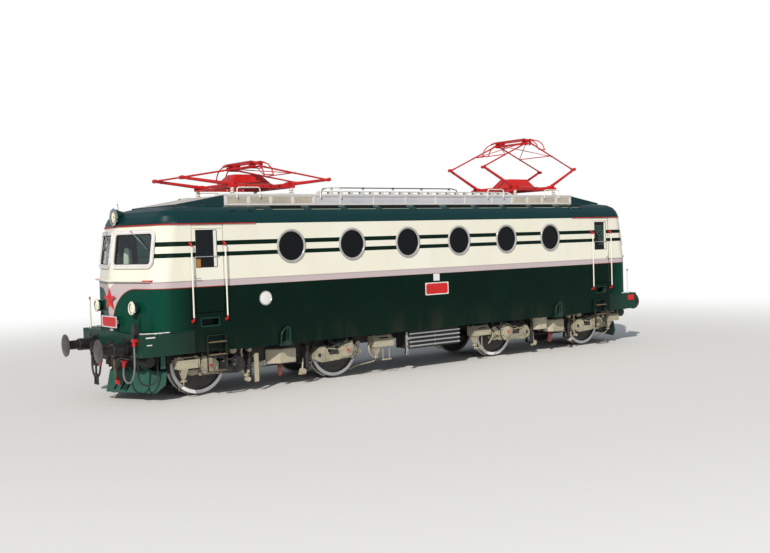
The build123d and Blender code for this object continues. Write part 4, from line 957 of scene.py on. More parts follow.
def windscreens():
    """Rubber seals inside the frames, and a raised bead round each frame."""
    seals, beads = Form(), Form()
    for side in BOTH:
        screen_ring(seals, side, 0.002, 0.014, 0.07, -0.024, 0.030)
        screen_ring(beads, side, 0.034, -0.016, 0.07, 0.026, 0.008)
        screen_ring(beads, side, 0.082, -0.070, 0.07, 0.000, 0.034)
    seals.finish_twins("windscreen_seals", RUBBER, bevel=0.003)
    beads.finish_twins("windscreen_beads", FRAME_WHITE, bevel=0.003)


WIPER_PIVOT = (0.608, 3.300)
WIPER_TIP = (1.131, 2.938)


def on_facet(side, y, z, lift):
    out = screen_axes(side)[3]
    return Vector((-RIDGE_LOW_X + NOSE_RUN * y + LEAN * (z - BELT_Z[1]), side * y, z)) + out * lift


def wipers():
    arms, blades = Form(), Form()
    for side in BOTH:
        out = screen_axes(side)[3]

        def at(share, lift):
            y = WIPER_PIVOT[0] + (WIPER_TIP[0] - WIPER_PIVOT[0]) * share
            z = WIPER_PIVOT[1] + (WIPER_TIP[1] - WIPER_PIVOT[1]) * share
            return on_facet(side, y, z, lift)

        arms.rod(at(0, 0.020), at(0, 0.052), 0.024, 20, 0.019)
        arms.rod(at(0, 0.050), at(0, 0.060), 0.011, 6)
        arms.pipe([at(0.0, 0.045), at(0.10, 0.046), at(0.55, 0.020), at(0.66, 0.012)], 0.0075, 8)
        arms.rod(at(0.64, -0.006) + out * 0.008, at(0.64, 0.020), 0.011, 10)
        blades.pipe([at(0.27, -0.010), at(0.62, 0.002), at(1.0, -0.010)], 0.009, 6)
        for share in (0.38, 0.52, 0.76, 0.90):
            arms.rod(at(share, -0.004), at(share, 0.010), 0.010, 6)
        arms.pipe([at(0.30, 0.004), at(0.62, 0.014), at(0.97, 0.004)], 0.0045, 6)
    arms.finish_twins("wiper_arms", CHROME)
    blades.finish_twins("wiper_blades", RUBBER)


STAR_X = -7.238
STAR_Z = 1.972
STAR_SIZE = (0.298, 0.232)


def star_point(i, scale=1.0):
    a = math.radians(90 + i * 36)
    size = scale * (1.0 if i % 2 == 0 else 0.42)
    return size * STAR_SIZE[0] * math.cos(a), STAR_Z + size * STAR_SIZE[1] * math.sin(a)


def stars():
    """A plain faceted star standing in front of the ridge of each nose, on two studs."""
    form, studs = Form(), Form()
    rim = [form.mesh.verts.new((STAR_X - 0.006, *star_point(i))) for i in range(10)]
    foot = [form.mesh.verts.new((STAR_X + 0.004, *star_point(i))) for i in range(10)]
    peak = form.mesh.verts.new((STAR_X - 0.030, 0.0, STAR_Z))
    for i in range(10):
        j = (i + 1) % 10
        form.mesh.faces.new((rim[i], rim[j], peak))
        form.mesh.faces.new((foot[i], foot[j], rim[j], rim[i]))
    form.mesh.faces.new(list(reversed(foot)))
    for y in (-0.11, 0.11):
        studs.rod((STAR_X, y, STAR_Z + 0.02), (STAR_X + 0.045, y, STAR_Z + 0.02), 0.010, 12)
    form.finish_twins("nose_stars", RED, smooth=False)
    studs.finish_twins("star_studs", FRAME_WHITE)


NOSE_PLATE_X = -7.250
NOSE_PLATE = (0.372, 1.425, 1.645)


def nose_plates():
    """Blank plates standing in front of the ridge, each with a pale frame, screws and brackets."""
    half, low, top = NOSE_PLATE
    panel, trim = Form(), Form()
    panel.box((NOSE_PLATE_X - 0.012, NOSE_PLATE_X), (-half, half), (low, top))
    origin = (NOSE_PLATE_X - 0.010, 0.0, (low + top) / 2)
    outer = rounded_rectangle(2 * half + 0.006, top - low + 0.006, 0.016)
    inner = rounded_rectangle(2 * half - 0.030, top - low - 0.030, 0.010)
    trim.band(outer, inner, origin, (0, -1, 0), (0, 0, 1), 0.010)
    for y in (-half + 0.035, half - 0.035):
        for z in (low + 0.035, top - 0.035):
            trim.bolt((NOSE_PLATE_X - 0.012, y, z), (-1, 0, 0), 0.008, 0.007)
    for y in (-0.26, 0.26):
        trim.box((NOSE_PLATE_X - 0.001, NOSE_PLATE_X + 0.075), about(y, 0.012), (low + 0.07, top - 0.07))
    panel.finish_twins("nose_plates", RED, bevel=0.002)
    trim.finish_twins("nose_plate_frames", FRAME_WHITE, bevel=0.002)


def side_plates():
    """Blank red plate amidships with a pale frame, a small pale plate over it, and a plain round badge."""
    x0, x1, z0, z1 = -0.302, 0.395, 1.690, 1.975
    out = -HALF_W
    panel, trim = Form(), Form()
    panel.box((x0, x1), (out - 0.014, out + 0.002), (z0, z1))
    origin = Vector(((x0 + x1) / 2, out - 0.018, (z0 + z1) / 2))
    outer = rounded_rectangle(x1 - x0, z1 - z0, 0.02)
    inner = rounded_rectangle(x1 - x0 - 0.044, z1 - z0 - 0.044, 0.012)
    trim.band(outer, inner, origin, (1, 0, 0), (0, 0, 1), -0.012)
    trim.box((-0.045, 0.135), (out - 0.010, out + 0.002), (2.015, 2.175))
    for x in (x0 + 0.035, x1 - 0.035):
        for z in (z0 + 0.035, z1 - 0.035):
            trim.bolt((x, out - 0.012, z), (0, -1, 0), 0.008, 0.010)
    panel.finish_twins("side_plates", RED, 0.002)
    trim.finish_twins("side_plate_frames", FRAME_WHITE, 0.002)

    disc, ring = Form(), Form()
    at = (-4.532, out, 1.885)
    face = [(-0.002, 0.0), (-0.002, 0.128), (0.008, 0.128), (0.014, 0.06), (0.015, 0.0)]
    rim = [(-0.002, 0.126), (-0.002, 0.148), (0.012, 0.148), (0.018, 0.138), (0.012, 0.126)]
    disc.lathe(face, at, (0, -1, 0), 40)
    ring.lathe(rim, at, (0, -1, 0), 40, ring=True)
    disc.finish_twins("round_badges", FRAME_WHITE)
    ring.finish_twins("round_badge_rings", CHROME)


TOP_LAMP = (-7.101, 0.0, 3.607)
LOW_LAMP = (-7.180, 0.900, 1.820)


def lamp_trim():
    """Rims with three clips, reflectors and bulbs; the roof lamp's rim is wider and bright."""
    top_rims, low_rims, dishes, bulbs = Form(), Form(), Form(), Form()
    lamps = [(TOP_LAMP, 0.118, 0.161, 0.0218, top_rims)]
    for side in BOTH:
        lamps.append(((LOW_LAMP[0], side * LOW_LAMP[1], LOW_LAMP[2]), 0.092, 0.121, 0.0178, low_rims))
    for at, hole, size, back, rims in lamps:
        outline = [
            (0.030, size - 0.002),
            (0.030, size + 0.007),
            (0.004, size + 0.008),
            (-0.008, size - 0.004),
            (-0.012, (size + hole) / 2),
            (-0.006, hole + 0.004),
            (0.003, hole - 0.001),
            (0.003, size - 0.006),
        ]
        rims.lathe(outline, at, (1, 0, 0), 56, ring=True)
        dish = [
            (back - 0.0006, 0.0),
            (back - 0.0006, hole * 0.5),
            (0.0166, hole * 0.99),
            (back - 0.0002, hole * 0.99),
            (back, hole * 0.3),
            (back, 0.0),
        ]
        dishes.lathe(dish, at, (1, 0, 0), 40)
        bulbs.lathe([(0.0163, 0.0), (0.0164, 0.014), (0.0169, 0.018), (0.0170, 0.0)], at, (1, 0, 0), 20)
        for dy, dz in around(3, size + 0.006, 90):
            y, z = at[1] + dy, at[2] + dz
            rims.rod((at[0] - 0.004, y, z), (at[0] + 0.040, y, z), 0.011, 10)
    top_rims.finish_twins("roof_lamp_rims", CHROME)
    low_rims.finish_twins("low_lamp_rims", PALE)
    dishes.finish_twins("lamp_reflectors", BULB)
    bulbs.finish_twins("lamp_bulbs", CHROME)


def nose_fittings():
    """Ledge pipe, lamp conduits, blank labels, whip and the sealing of the headstock ledge."""
    pipes, labels, conduits, seam = Form(), Form(), Form(), Form()
    for side in BOTH:
        run = [(-7.205, side * 1.281, 1.352), (-7.10, side * 1.400, 1.352), (-6.98, side * 1.462, 1.352)]
        pipes.pipe(run + [(-6.80, side * 1.466, 1.352), (-6.64, side * 1.466, 1.352)], 0.010, 10)
        for x in (-6.95, -6.70):
            pipes.box(about(x, 0.012), on_side(side, 1.450, 1.478), (1.335, 1.364))
        conduit = [(-7.02, side * 0.93, 1.71), (-7.05, side * 0.94, 1.60), (-7.05, side * 0.94, 1.336)]
        conduits.pipe(conduit, 0.013, 10)
        conduits.box((-6.66, -6.58), on_side(side, 1.476, 1.486), (1.143, 1.157))
    labels.box((-7.154, -6.965), (-1.484, -1.478), (1.268, 1.292))
    labels.box((-7.135, -7.030), (-1.484, -1.478), (1.130, 1.148))
    path = eave_path(LEAF_X[1], RIDGE_LOW_X)
    seam.sweep(path, [(-0.004, 0.0), (0.020, 0.0), (0.018, 0.006), (0.004, 0.010), (-0.004, 0.022)], 1.335)
    conduits.pipe([(-6.98, 0.0, 3.70), (-6.985, 0.0, 3.80), (-6.99, 0.0, 3.86)], 0.006, 8)
    conduits.rod((-6.99, 0.0, 3.86), (-6.992, 0.0, 3.875), 0.010, 8)
    pipes.finish_twins("ledge_pipes", FRAME_WHITE)
    labels.finish_twins("blank_labels", FRAME_WHITE)
    conduits.finish_twins("lamp_conduits", GREEN)
    seam.finish_twins("nose_foot_seams", GREEN)


BUFFER_Y = 0.875
BUFFER_Z = 1.05


def collar(thickness, inner, outer, end_outer=None):
    """Closed outline of a flat ring for a lathe."""
    return [(0.0, inner), (0.0, outer), (thickness, end_outer or outer), (thickness, inner)]


def headstock_trim():
    """Buffer feet and collars, the bolts of the draw plate and the edges, and the red socket covers."""
    bolts, steel, plates, covers = Form(), Form(), Form(), Form()
    for side in BOTH:
        y = side * BUFFER_Y
        plates.box((-7.262, -7.248), about(y, 0.215), (0.850, 1.250))
        for dy in (-0.185, 0.185):
            for dz in (-0.165, 0.165):
                bolts.bolt((-7.262, y + dy, BUFFER_Z + dz), (-1, 0, 0), 0.017, 0.020)
        steel.lathe(collar(0.016, 0.096, 0.121), (-7.592, y, BUFFER_Z), (1, 0, 0), 40, ring=True)
        foot = collar(0.030, 0.128, 0.139, 0.142)
        plates.lathe(foot, (-7.330, y, BUFFER_Z), (1, 0, 0), 40, ring=True)
        plates.lathe(collar(0.020, 0.118, 0.127), (-7.548, y, BUFFER_Z), (1, 0, 0), 40, ring=True)
    for y in (-0.105, 0.105):
        for z in (0.965, 1.05, 1.135):
            bolts.bolt((-7.275, y, z), (-1, 0, 0), 0.014, 0.016)
    for i in range(-9, 10):
        y = i * 0.155
        if abs(abs(y) - BUFFER_Y) > 0.24 and abs(y) > 0.17:
            bolts.bolt((-7.25, y, 1.300), (-1, 0, 0), 0.010, 0.009)
    for side in BOTH:
        for i in range(6):
            bolts.bolt((-7.16 + i * 0.19, side * 1.48, 0.945), (0, side, 0), 0.010, 0.009)
    covers.box((-7.135, -6.895), (1.474, 1.502), (1.145, 1.278))
    for x in (-7.110, -6.920):
        for z in (1.165, 1.258):
            covers.bolt((x, 1.502, z), (0, 1, 0), 0.008, 0.006)
    covers.rod((-7.135, 1.496, 1.278), (-6.895, 1.496, 1.278), 0.008, 12)
    covers.finish_twins("socket_covers", RED, 0.004)
    bolts.finish_twins("headstock_bolts", GREEN)
    steel.finish_twins("buffer_collars", BUFFER_STEEL)
    plates.finish_twins("buffer_feet", BLACKING, 0.003)


# How the drawn door, at -X and -Y, is flipped for each side and end
DOOR_FLIPS = {"near": ((1, 1), (-1, 1)), "far": ((1, -1), (-1, -1))}
LEAF_Y = -HALF_W + 0.005
DOOR_WINDOW_X = (-6.051, -5.590)
DOOR_WINDOW_Z = (2.564, 3.297)


def door_handle(metal):
    """Guard rail across the window, and the lever on its plate with the lock under it."""
    x0, x1 = DOOR_WINDOW_X
    metal.rod((x0 - 0.02, LEAF_Y - 0.012, 2.775), (x1 + 0.02, LEAF_Y - 0.012, 2.775), 0.009, 12)
    for x in (x0 - 0.018, x1 + 0.018):
        metal.rod((x, LEAF_Y + 0.002, 2.775), (x, LEAF_Y - 0.016, 2.775), 0.016, 12)
    back_plate = rounded_rectangle(0.036, 0.15, 0.016)
    metal.plate(back_plate, (-6.092, LEAF_Y + 0.001, 2.33), (1, 0, 0), (0, 0, 1), 0.006)
    metal.rod((-6.092, LEAF_Y, 2.355), (-6.092, LEAF_Y - 0.045, 2.355), 0.012, 14)
    lever = [(-6.092, -0.042, 2.355), (-6.05, -0.044, 2.354), (-5.985, -0.040, 2.346)]
    metal.pipe([(x, LEAF_Y + dy, z) for x, dy, z in lever], 0.010, 10)
    metal.rod((-6.092, LEAF_Y, 2.295), (-6.092, LEAF_Y - 0.010, 2.295), 0.009, 12)


def door_trim():
    """On each door: window seal, handle, strips and sash, and an arm rest on the driver's."""
    x0, x1 = DOOR_WINDOW_X
    z0, z1 = DOOR_WINDOW_Z
    centre = Vector(((x0 + x1) / 2, LEAF_Y + 0.020, (z0 + z1) / 2))
    outer = rounded_rectangle(x1 - x0 + 0.006, z1 - z0 + 0.006, 0.020)
    inner = rounded_rectangle(x1 - x0 - 0.014, z1 - z0 - 0.014, 0.014)
    for number, side in ((1, "near"), (1, "far"), (2, "near"), (2, "far")):
        body = f"door_{number}_{side}"
        flip = DOOR_FLIPS[side][number - 1]
        driver = is_driver_door(number, side)
        seal, metal, strips, sash = Form(), Form(), Form(), Form()
        seal.band(outer, inner, centre, (1, 0, 0), (0, 0, 1), 0.024)
        door_handle(metal)
        strips.box((-6.110, -5.480), (LEAF_Y - 0.020, LEAF_Y + 0.002), (1.694, 1.722))
        strips.box((-6.110, -5.480), (LEAF_Y - 0.012, LEAF_Y + 0.002), (3.330, 3.344))
        for x in (-6.07, -5.79, -5.52):
            strips.bolt((x, LEAF_Y - 0.019, 1.708), (0, -1, 0), 0.007, 0.006)
        edge = (-5.660, -5.598) if driver else (-6.043, -5.981)
        sash.box(edge, (-HALF_W + 0.007, -HALF_W + 0.016), (2.572, 3.289))
        for form in (seal, metal, strips, sash):
            form.flip(flip)
        sash.finish(f"{body}_sash", PALE, body, 0.002)
        if driver:
            rest = Form()
            rest.box((-6.040, -5.950), (-HALF_W + 0.009, -HALF_W + 0.016), (2.572, 2.730))
            rest.flip(flip)
            rest.finish(f"{body}_arm_rest", VARNISH, body, 0.002)
        seal.finish(f"{body}_seal", RUBBER, body, 0.003)
        metal.finish(f"{body}_handle", CHROME, body)
        strips.finish(f"{body}_strips", LIVERY, body, 0.002)


FOOTHOLD_X = 5.795


def port_trim():
    """Seal and twelve screws of each round window."""
    seals, screws = Form(), Form()
    for x in PORT_X:
        for side in BOTH:
            outline = [(-0.030, 0.293), (0.006, 0.295), (0.010, 0.303), (-0.030, 0.303)]
            seals.lathe(outline, (x, side * HALF_W, PORT_Z), (0, side, 0), 64, ring=True)
            for dx, dz in around(12, 0.336, 15):
                place = (x + dx, side * (HALF_W + 0.0265), PORT_Z + dz)
                screws.rod(place, (place[0], side * (HALF_W + 0.0325), place[2]), 0.0085, 10, 0.0065)
    seals.finish("port_seals", RUBBER)
    screws.finish("port_screws", CHROME)


def wall_trim():
    """Foothold frames with their ribs, and the flanges of the rails beside the doors."""
    steps, flanges = Form(), Form()
    outer = rounded_rectangle(0.420, 0.180, 0.03)
    inner = rounded_rectangle(0.376, 0.136, 0.02)
    for end in (1, -1):
        for side in BOTH:
            face = side * (HALF_W + (0.006 if side < 0 else -0.001))
            origin = (-FOOTHOLD_X * end, face, 1.49)
            steps.band(outer, inner, origin, (1, 0, 0), (0, 0, 1), -0.007)
            for rib in range(9):
                x = (-FOOTHOLD_X - 0.16 + rib * 0.04) * end
                steps.box(about(x, 0.004), on_side(side, 1.352, 1.478), (1.420, 1.426))
            for x in (6.174, 5.442):
                for z in (1.525, 3.039):
                    foot = (-x * end, side * (HALF_W - 0.002), z)
                    flanges.rod(foot, (-x * end, side * (HALF_W + 0.006), z), 0.027, 20)
                    centre = (-x * end, side * (HALF_W + 0.005), z)
                    flanges.bolt_ring(centre, (0, side, 0), around(4, 0.021, 45), 0.003, 0.004)
    steps.finish("foothold_frames", GREEN)
    flanges.finish("rail_flanges", RED)


LADDER_X = 5.7
LADDER_STEPS = (0.525, 0.845, 1.093)


def ladder_treads():
    treads, bolts = Form(), Form()
    for z in LADDER_STEPS:
        treads.box(about(-LADDER_X, 0.196), (-1.592, -1.493), (z, z + 0.005))
        for i in range(5):
            y = -1.580 + i * 0.019
            treads.box(about(-LADDER_X, 0.19), (y, y + 0.006), (z + 0.004, z + 0.009))
        for x in about(-LADDER_X, 0.21):
            side = -1 if x < -LADDER_X else 1
            for y in (-1.575, -1.515):
                bolts.bolt((x, y, z - 0.008), (side, 0, 0), 0.007, 0.007)
    for z in (0.960, 1.215):
        for x in about(-LADDER_X, 0.204):
            bolts.bolt((x, -1.556, z), (0, -1, 0), 0.008, 0.008)
    treads.finish_twins("ladder_treads", TREAD, flips=ALL_CORNERS)
    bolts.finish_twins("ladder_bolts", LADDER, flips=ALL_CORNERS)


POST_X = (2.990, 3.530, 4.070, 4.600, 5.135)
CASING_Y = 1.05
CASING_Z = (3.815, 3.975)


def casing_trim():
    """Wire mesh in the end panels, cover strips on the middle plates, bolts and the deck's edge."""
    mesh, trim, bolts = Form(), Form(), Form()
    low, top = CASING_Z
    face = -CASING_Y
    for x0, x1 in zip(POST_X, POST_X[1:]):
        x0, x1 = x0 + 0.032, x1 - 0.032
        for z0, z1 in ((low, low + 0.010), (top - 0.010, top)):
            trim.box((x0, x1), (face - 0.009, face + 0.001), (z0, z1))
        for a, b in ((x0, x0 + 0.010), (x1 - 0.010, x1)):
            trim.box((a, b), (face - 0.009, face + 0.001), (low, top))
        count = int((x1 - x0) / 0.021)
        for i in range(1, count):
            x = x0 + (x1 - x0) * i / count
            mesh.rod((x, face - 0.006, low + 0.004), (x, face - 0.006, top - 0.004), 0.0028, 4)
        for i in range(1, 8):
            z = low + (top - low) * i / 8
            mesh.rod((x0 + 0.004, face - 0.008, z), (x1 - 0.004, face - 0.008, z), 0.0028, 4)
    for x in POST_X:
        for z in (3.785, 3.850, 3.940, 3.990):
            bolts.bolt((x, face - 0.014, z), (0, -1, 0), 0.007, 0.007)
    mesh.repeat(OTHER_END)
    trim.repeat(OTHER_END)
    for x in (-2.30, -1.38, -0.46, 0.46, 1.38, 2.30):
        trim.box(about(x, 0.014), (face - 0.012, face + 0.001), (low, top))
    bolts.repeat(OTHER_END)
    for i in range(-18, 19):
        bolts.bolt((i * 0.155, face - 0.014, 3.990), (0, -1, 0), 0.006, 0.006)
    trim.box((-5.165, 5.165), (face - 0.024, face - 0.012), (3.994, 4.012))
    mesh.finish_twins("casing_mesh", LOUVRE_WIRE, flips=[OTHER_SIDE])
    trim.finish_twins("casing_strips", FRAME_WHITE, flips=[OTHER_SIDE])
    bolts.finish_twins("casing_bolts", FRAME_WHITE, flips=[OTHER_SIDE])


SHORT_SLOT_X = 4.517


def roof_trim():
    """Lips of the ventilation slots, black pieces in them as painted shade of the openings, and the eyes over
    the gutters.
    """
    lips, blades, eyes = Form(), Form(), Form()
    for side in BOTH:
        for x in SLOT_X:
            lips.box(about(x, 0.374), on_side(side, 1.318, 1.356), (3.686, 3.701))
            # The black pieces in each slot are painted shade of its opening
            blades.box(about(x, 0.374), on_side(side, 1.215, 1.268), (3.738, 3.775))
            blades.box(about(x, 0.371), on_side(side, 1.285, 1.300), (3.701, 3.740))
        # Each side has one more slot at one end, and a short one at the other
        x = -side * LAST_SLOT_X
        rise = Vector((0, -side * 0.073, 0.045)).normalized()
        # A black plate on the roof's slope: painted shade of this slot's opening
        dark = [(-0.372, 0.0), (0.372, 0.0), (0.372, 0.082), (-0.372, 0.082)]
        lips.box(about(x, 0.374), on_side(side, 1.318, 1.366), (3.686, 3.701))
        blades.plate(dark, (x, side * 1.339, 3.703), (1, 0, 0), rise, -side * 0.004)
        x = side * SHORT_SLOT_X
        lips.box(about(x, 0.084), on_side(side, 1.318, 1.352), (3.690, 3.702))
        blades.box(about(x, 0.080), on_side(side, 1.285, 1.322), (3.702, 3.736))
        for x in (-4.75, -5.15, 4.75, 5.15):
            bow = [(-0.05, 1.372, 3.664), (-0.05, 1.392, 3.700), (0.05, 1.392, 3.700), (0.05, 1.372, 3.664)]
            eyes.pipe([(x + dx, side * y, z) for dx, y, z in bow], 0.009, 8)
    lips.finish("slot_lips", SLOT_LIP)
    blades.finish("slot_shade_sheets", SLOT_SHADE_BLACK)
    eyes.finish("roof_eyes", ROOF)


# Which way each bogie's outer end lies
OUTER = {1: -1, 2: 1}


def bogie_pair(build, name, material, bevel=0.0, smooth=True):
    """One side of a bogie's trim, and its half-turned twin on the other bogie's far side."""
    for number in (1, 2):
        for flip, body in (((1, 1), number), (TURNED, 3 - number)):
            form = Form()
            build(form, number)
            form.flip(flip)
            label = f"{name}_{number}_{'near' if body == number else 'turned'}"
            form.finish(label, material, f"bogie_{body}", bevel, smooth)


# Fall of a sand box's lid for its depth
LID_SLOPE = 0.42
# Sand boxes by bogie: x0, x1, y0, y1, z0, z1; chests without their depth
SAND_BOXES = {
    1: ((-6.465, -5.985, -1.350, -1.195, 0.600, 0.825), (-1.668, -1.114, -1.300, -1.040, 0.600, 0.848)),
    2: ((1.352, 1.903, -1.300, -1.040, 0.600, 0.830), (6.306, 6.725, -1.300, -1.040, 0.600, 0.866)),
}
CHESTS = {
    1: ((-4.115, -3.717, 0.490, 0.792),),
    2: ((3.600, 3.915, 0.590, 0.905), (4.120, 4.545, 0.490, 0.800)),
}


def box_slots(form, bogie):
    """Black plates for the dark throats of the sand boxes' filler slots: painted shade."""
    out = Vector((0, -1, 1)).normalized()
    for x0, x1, y0, y1, _, z1 in SAND_BOXES[bogie]:
        slope = LID_SLOPE * (y1 - y0)
        middle = Vector(((x0 + x1) / 2 + 0.030, y0 + slope / 2, z1 - slope / 2)) - out * 0.0118
        form.plate(rounded_rectangle(0.248, 0.042, 0.019), middle, (1, 0, 0), (0, 0.7071, 0.7071), 0.003)


def box_fittings(form, bogie):
    """Hinges, latches, rivets and lid joints on the sand boxes and chests."""
    for x0, x1, y0, y1, z0, z1 in SAND_BOXES[bogie]:
        slope = LID_SLOPE * (y1 - y0)
        form.box((x0 - 0.003, x1 + 0.003), about(y0, 0.004), (z1 - slope - 0.030, z1 - slope - 0.022))
        for x in (x0 + 0.06, x1 - 0.06):
            form.rod((x - 0.028, y0 + slope, z1 + 0.004), (x + 0.028, y0 + slope, z1 + 0.004), 0.009, 10)
            form.box(about(x, 0.02), (y0 - 0.008, y0), (z1 - slope - 0.075, z1 - slope - 0.010))
        for i in range(7):
            x = x0 + 0.03 + (x1 - x0 - 0.06) * i / 6
            form.rod((x, y0 + 0.001, z0 + 0.022), (x, y0 - 0.006, z0 + 0.022), 0.007, 8, 0.004)
        for z in (z0 + 0.06, z0 + 0.12):
            for x in (x0 + 0.022, x1 - 0.022):
                form.rod((x, y0 + 0.001, z), (x, y0 - 0.006, z), 0.007, 8, 0.004)
    for x0, x1, z0, z1 in CHESTS[bogie]:
        y = -1.286
        form.box((x0 + 0.01, x1 - 0.01), (y - 0.003, y + 0.006), (z1 - 0.055, z1 - 0.048))
        for x in (x0 + 0.05, x1 - 0.05):
            form.box(about(x, 0.015), (y - 0.010, y + 0.002), (z1 - 0.085, z1 - 0.030))
            form.rod((x - 0.020, y - 0.008, z1 - 0.030), (x + 0.020, y - 0.008, z1 - 0.030), 0.007, 8)
            for z in (z0 + 0.03, z0 + 0.09):
                form.bolt((x, y + 0.001, z), (0, -1, 0), 0.008, 0.008)


# Corners of an axlebox cover and bolts of its arm, from the axle, inwards and up
HEX_COVER = (
    (-0.120, -0.160),
    (0.170, -0.160),
    (0.205, 0.015),
    (0.080, 0.190),
    (-0.150, 0.190),
    (-0.205, -0.025),
)
ARM_BOLTS = (
    (0.30, -0.175),
    (0.45, -0.18),
    (0.62, -0.185),
    (0.755, -0.125),
    (0.77, -0.02),
    (0.69, 0.085),
    (0.57, 0.095),
    (0.47, -0.03),
)


def axle_places(bogie):
    centre = OUTER[bogie] * BOGIE_X
    return ((centre - AXLE_DX, 1), (centre + AXLE_DX, -1))


def axlebox_bolts(form, bogie):
    """Cover bolts, arm bolts, ribs and oil plugs of the axleboxes."""
    out = (0, -1, 0)
    for x, inward in axle_places(bogie):
        if bogie == 1:
            corners = [Vector(c) for c in HEX_COVER]
            places = [c * 0.89 for c in corners]
            places += [(a + b) * 0.445 for a, b in zip(corners, corners[1:] + corners[:1])]
            for c in places:
                form.bolt((x + inward * c.x, -1.325, WHEEL_R + c.y), out, 0.010, 0.014)
        else:
            form.bolt_ring((x, -1.292, WHEEL_R), out, around(8, 0.203), 0.010, 0.012)
            form.bolt_ring((x, -1.349, WHEEL_R), out, around(6, 0.105), 0.008, 0.012)
        for dx, dz in ARM_BOLTS:
            form.bolt((x + inward * dx, -1.300, WHEEL_R + dz), out, 0.012, 0.014)
        for dx in (0.50, 0.58, 0.66):
            rib = sorted((x + inward * (dx - 0.006), x + inward * (dx + 0.006)))
            form.box(rib, (-1.312, -1.298), (WHEEL_R - 0.15, WHEEL_R + 0.05))
        plug = x - inward * 0.09
        form.rod((plug, -1.20, 1.42 - WHEEL_R), (plug, -1.20, 0.835), 0.020, 12)
        form.rod((plug, -1.20, 0.835), (plug, -1.20, 0.850), 0.026, 6)
        for dz in (-0.16, 0.13):
            for dx in (-0.155, 0.155):
                form.bolt((x + dx, -1.250, WHEEL_R + dz), out, 0.012, 0.014)


def cover_marks(form, bogie):
    """Round caps in the middle of the axlebox covers."""
    for x, _ in axle_places(bogie):
        y = -1.370 if bogie == 1 else -1.358
        form.rod((x, y, WHEEL_R), (x, y - 0.004, WHEEL_R), 0.030, 24)


# Routes of the air pipes from the bogie's centre
AIR_PIPES = (
    (
        (-2.30, -1.062, 0.925),
        (-0.95, -1.062, 0.925),
        (-0.80, -1.062, 0.870),
        (0.80, -1.062, 0.870),
        (0.95, -1.062, 0.925),
        (2.30, -1.062, 0.925),
    ),
    ((-1.00, -1.075, 0.840), (-0.90, -1.120, 0.780), (-0.88, -1.150, 0.560), (-0.95, -1.150, 0.400)),
    ((1.00, -1.075, 0.840), (0.92, -1.130, 0.760), (0.90, -1.150, 0.520), (0.80, -1.140, 0.330)),
    ((-0.55, -1.060, 0.600), (-0.30, -1.090, 0.540), (0.30, -1.090, 0.540), (0.55, -1.060, 0.600)),
)


def bogie_pipes(form, bogie):
    """Air pipes along the side plate with their drops, unions and clips."""
    centre = OUTER[bogie] * BOGIE_X
    for run in AIR_PIPES:
        form.pipe([(centre + x, y, z) for x, y, z in run], 0.012, 10)
        for x, y, z in run[1:-1]:
            form.rod((centre + x - 0.02, y, z), (centre + x + 0.02, y, z), 0.021, 6)
    for x in (-1.9, -1.35, 1.35, 1.9):
        form.box(about(centre + x, 0.014), (-1.080, -1.040), (0.905, 0.945))


def brake_gear(form, bogie):
    """Brake cylinder, its levers and slack adjuster beside the side plate, between the wheels."""
    outer = OUTER[bogie]
    centre = outer * BOGIE_X
    x = centre + outer * 1.085
    cylinder = [(0.0, 0.0), (0.0, 0.070), (0.02, 0.082), (0.05, 0.082)]
    cylinder += [(0.055, 0.070), (0.19, 0.070), (0.20, 0.050), (0.21, 0.0)]
    form.lathe(cylinder, (x, -1.255, 0.865), (0, 1, 0), 28)
    form.bolt_ring((x, -1.236, 0.865), (0, -1, 0), around(6, 0.070), 0.007, 0.008)
    lever = centre + outer * 0.890
    form.box(about(lever, 0.018), (-1.225, -1.205), (0.600, 0.880))
    for z in (0.620, 0.740, 0.860):
        form.rod((lever, -1.245, z), (lever, -1.150, z), 0.022, 14)
    tail = [(0.0, -1.215, 0.60), (-0.03, -1.215, 0.50), (0.02, -1.200, 0.40), (0.09, -1.190, 0.330)]
    form.pipe([(lever + dx, y, z) for dx, y, z in tail], 0.018, 10)
    form.rod((lever + 0.09, -1.230, 0.320), (lever + 0.09, -1.140, 0.320), 0.032, 14)
    for z in (0.45, 0.52):
        form.rod((centre + outer * 0.62, -1.130, z), (centre + outer * 0.28, -1.130, z + 0.03), 0.016, 12)
    adjuster = centre + outer * 0.50
    form.rod((adjuster, -1.150, 0.42), (adjuster, -1.110, 0.58), 0.030, 16)


def red_links(form, bogie):
    """Red safety pieces under the side plate: a hanging block and its pin."""
    centre = OUTER[bogie] * BOGIE_X
    form.box((centre + 0.035, centre + 0.110), (-1.130, -1.085), (0.215, 0.475))
    form.rod((centre + 0.0725, -1.140, 0.450), (centre + 0.0725, -1.075, 0.450), 0.022, 14)


# Start, sag and end of each hose from the axle, inwards and up
GEAR_HOSES = (
    ((-0.16, 0.24), (0.10, 0.06), (0.42, 0.20)),
    ((-0.24, 0.10), (-0.30, -0.14), (-0.10, -0.22)),
    ((0.22, 0.23), (0.34, -0.02), (0.60, 0.16)),
)


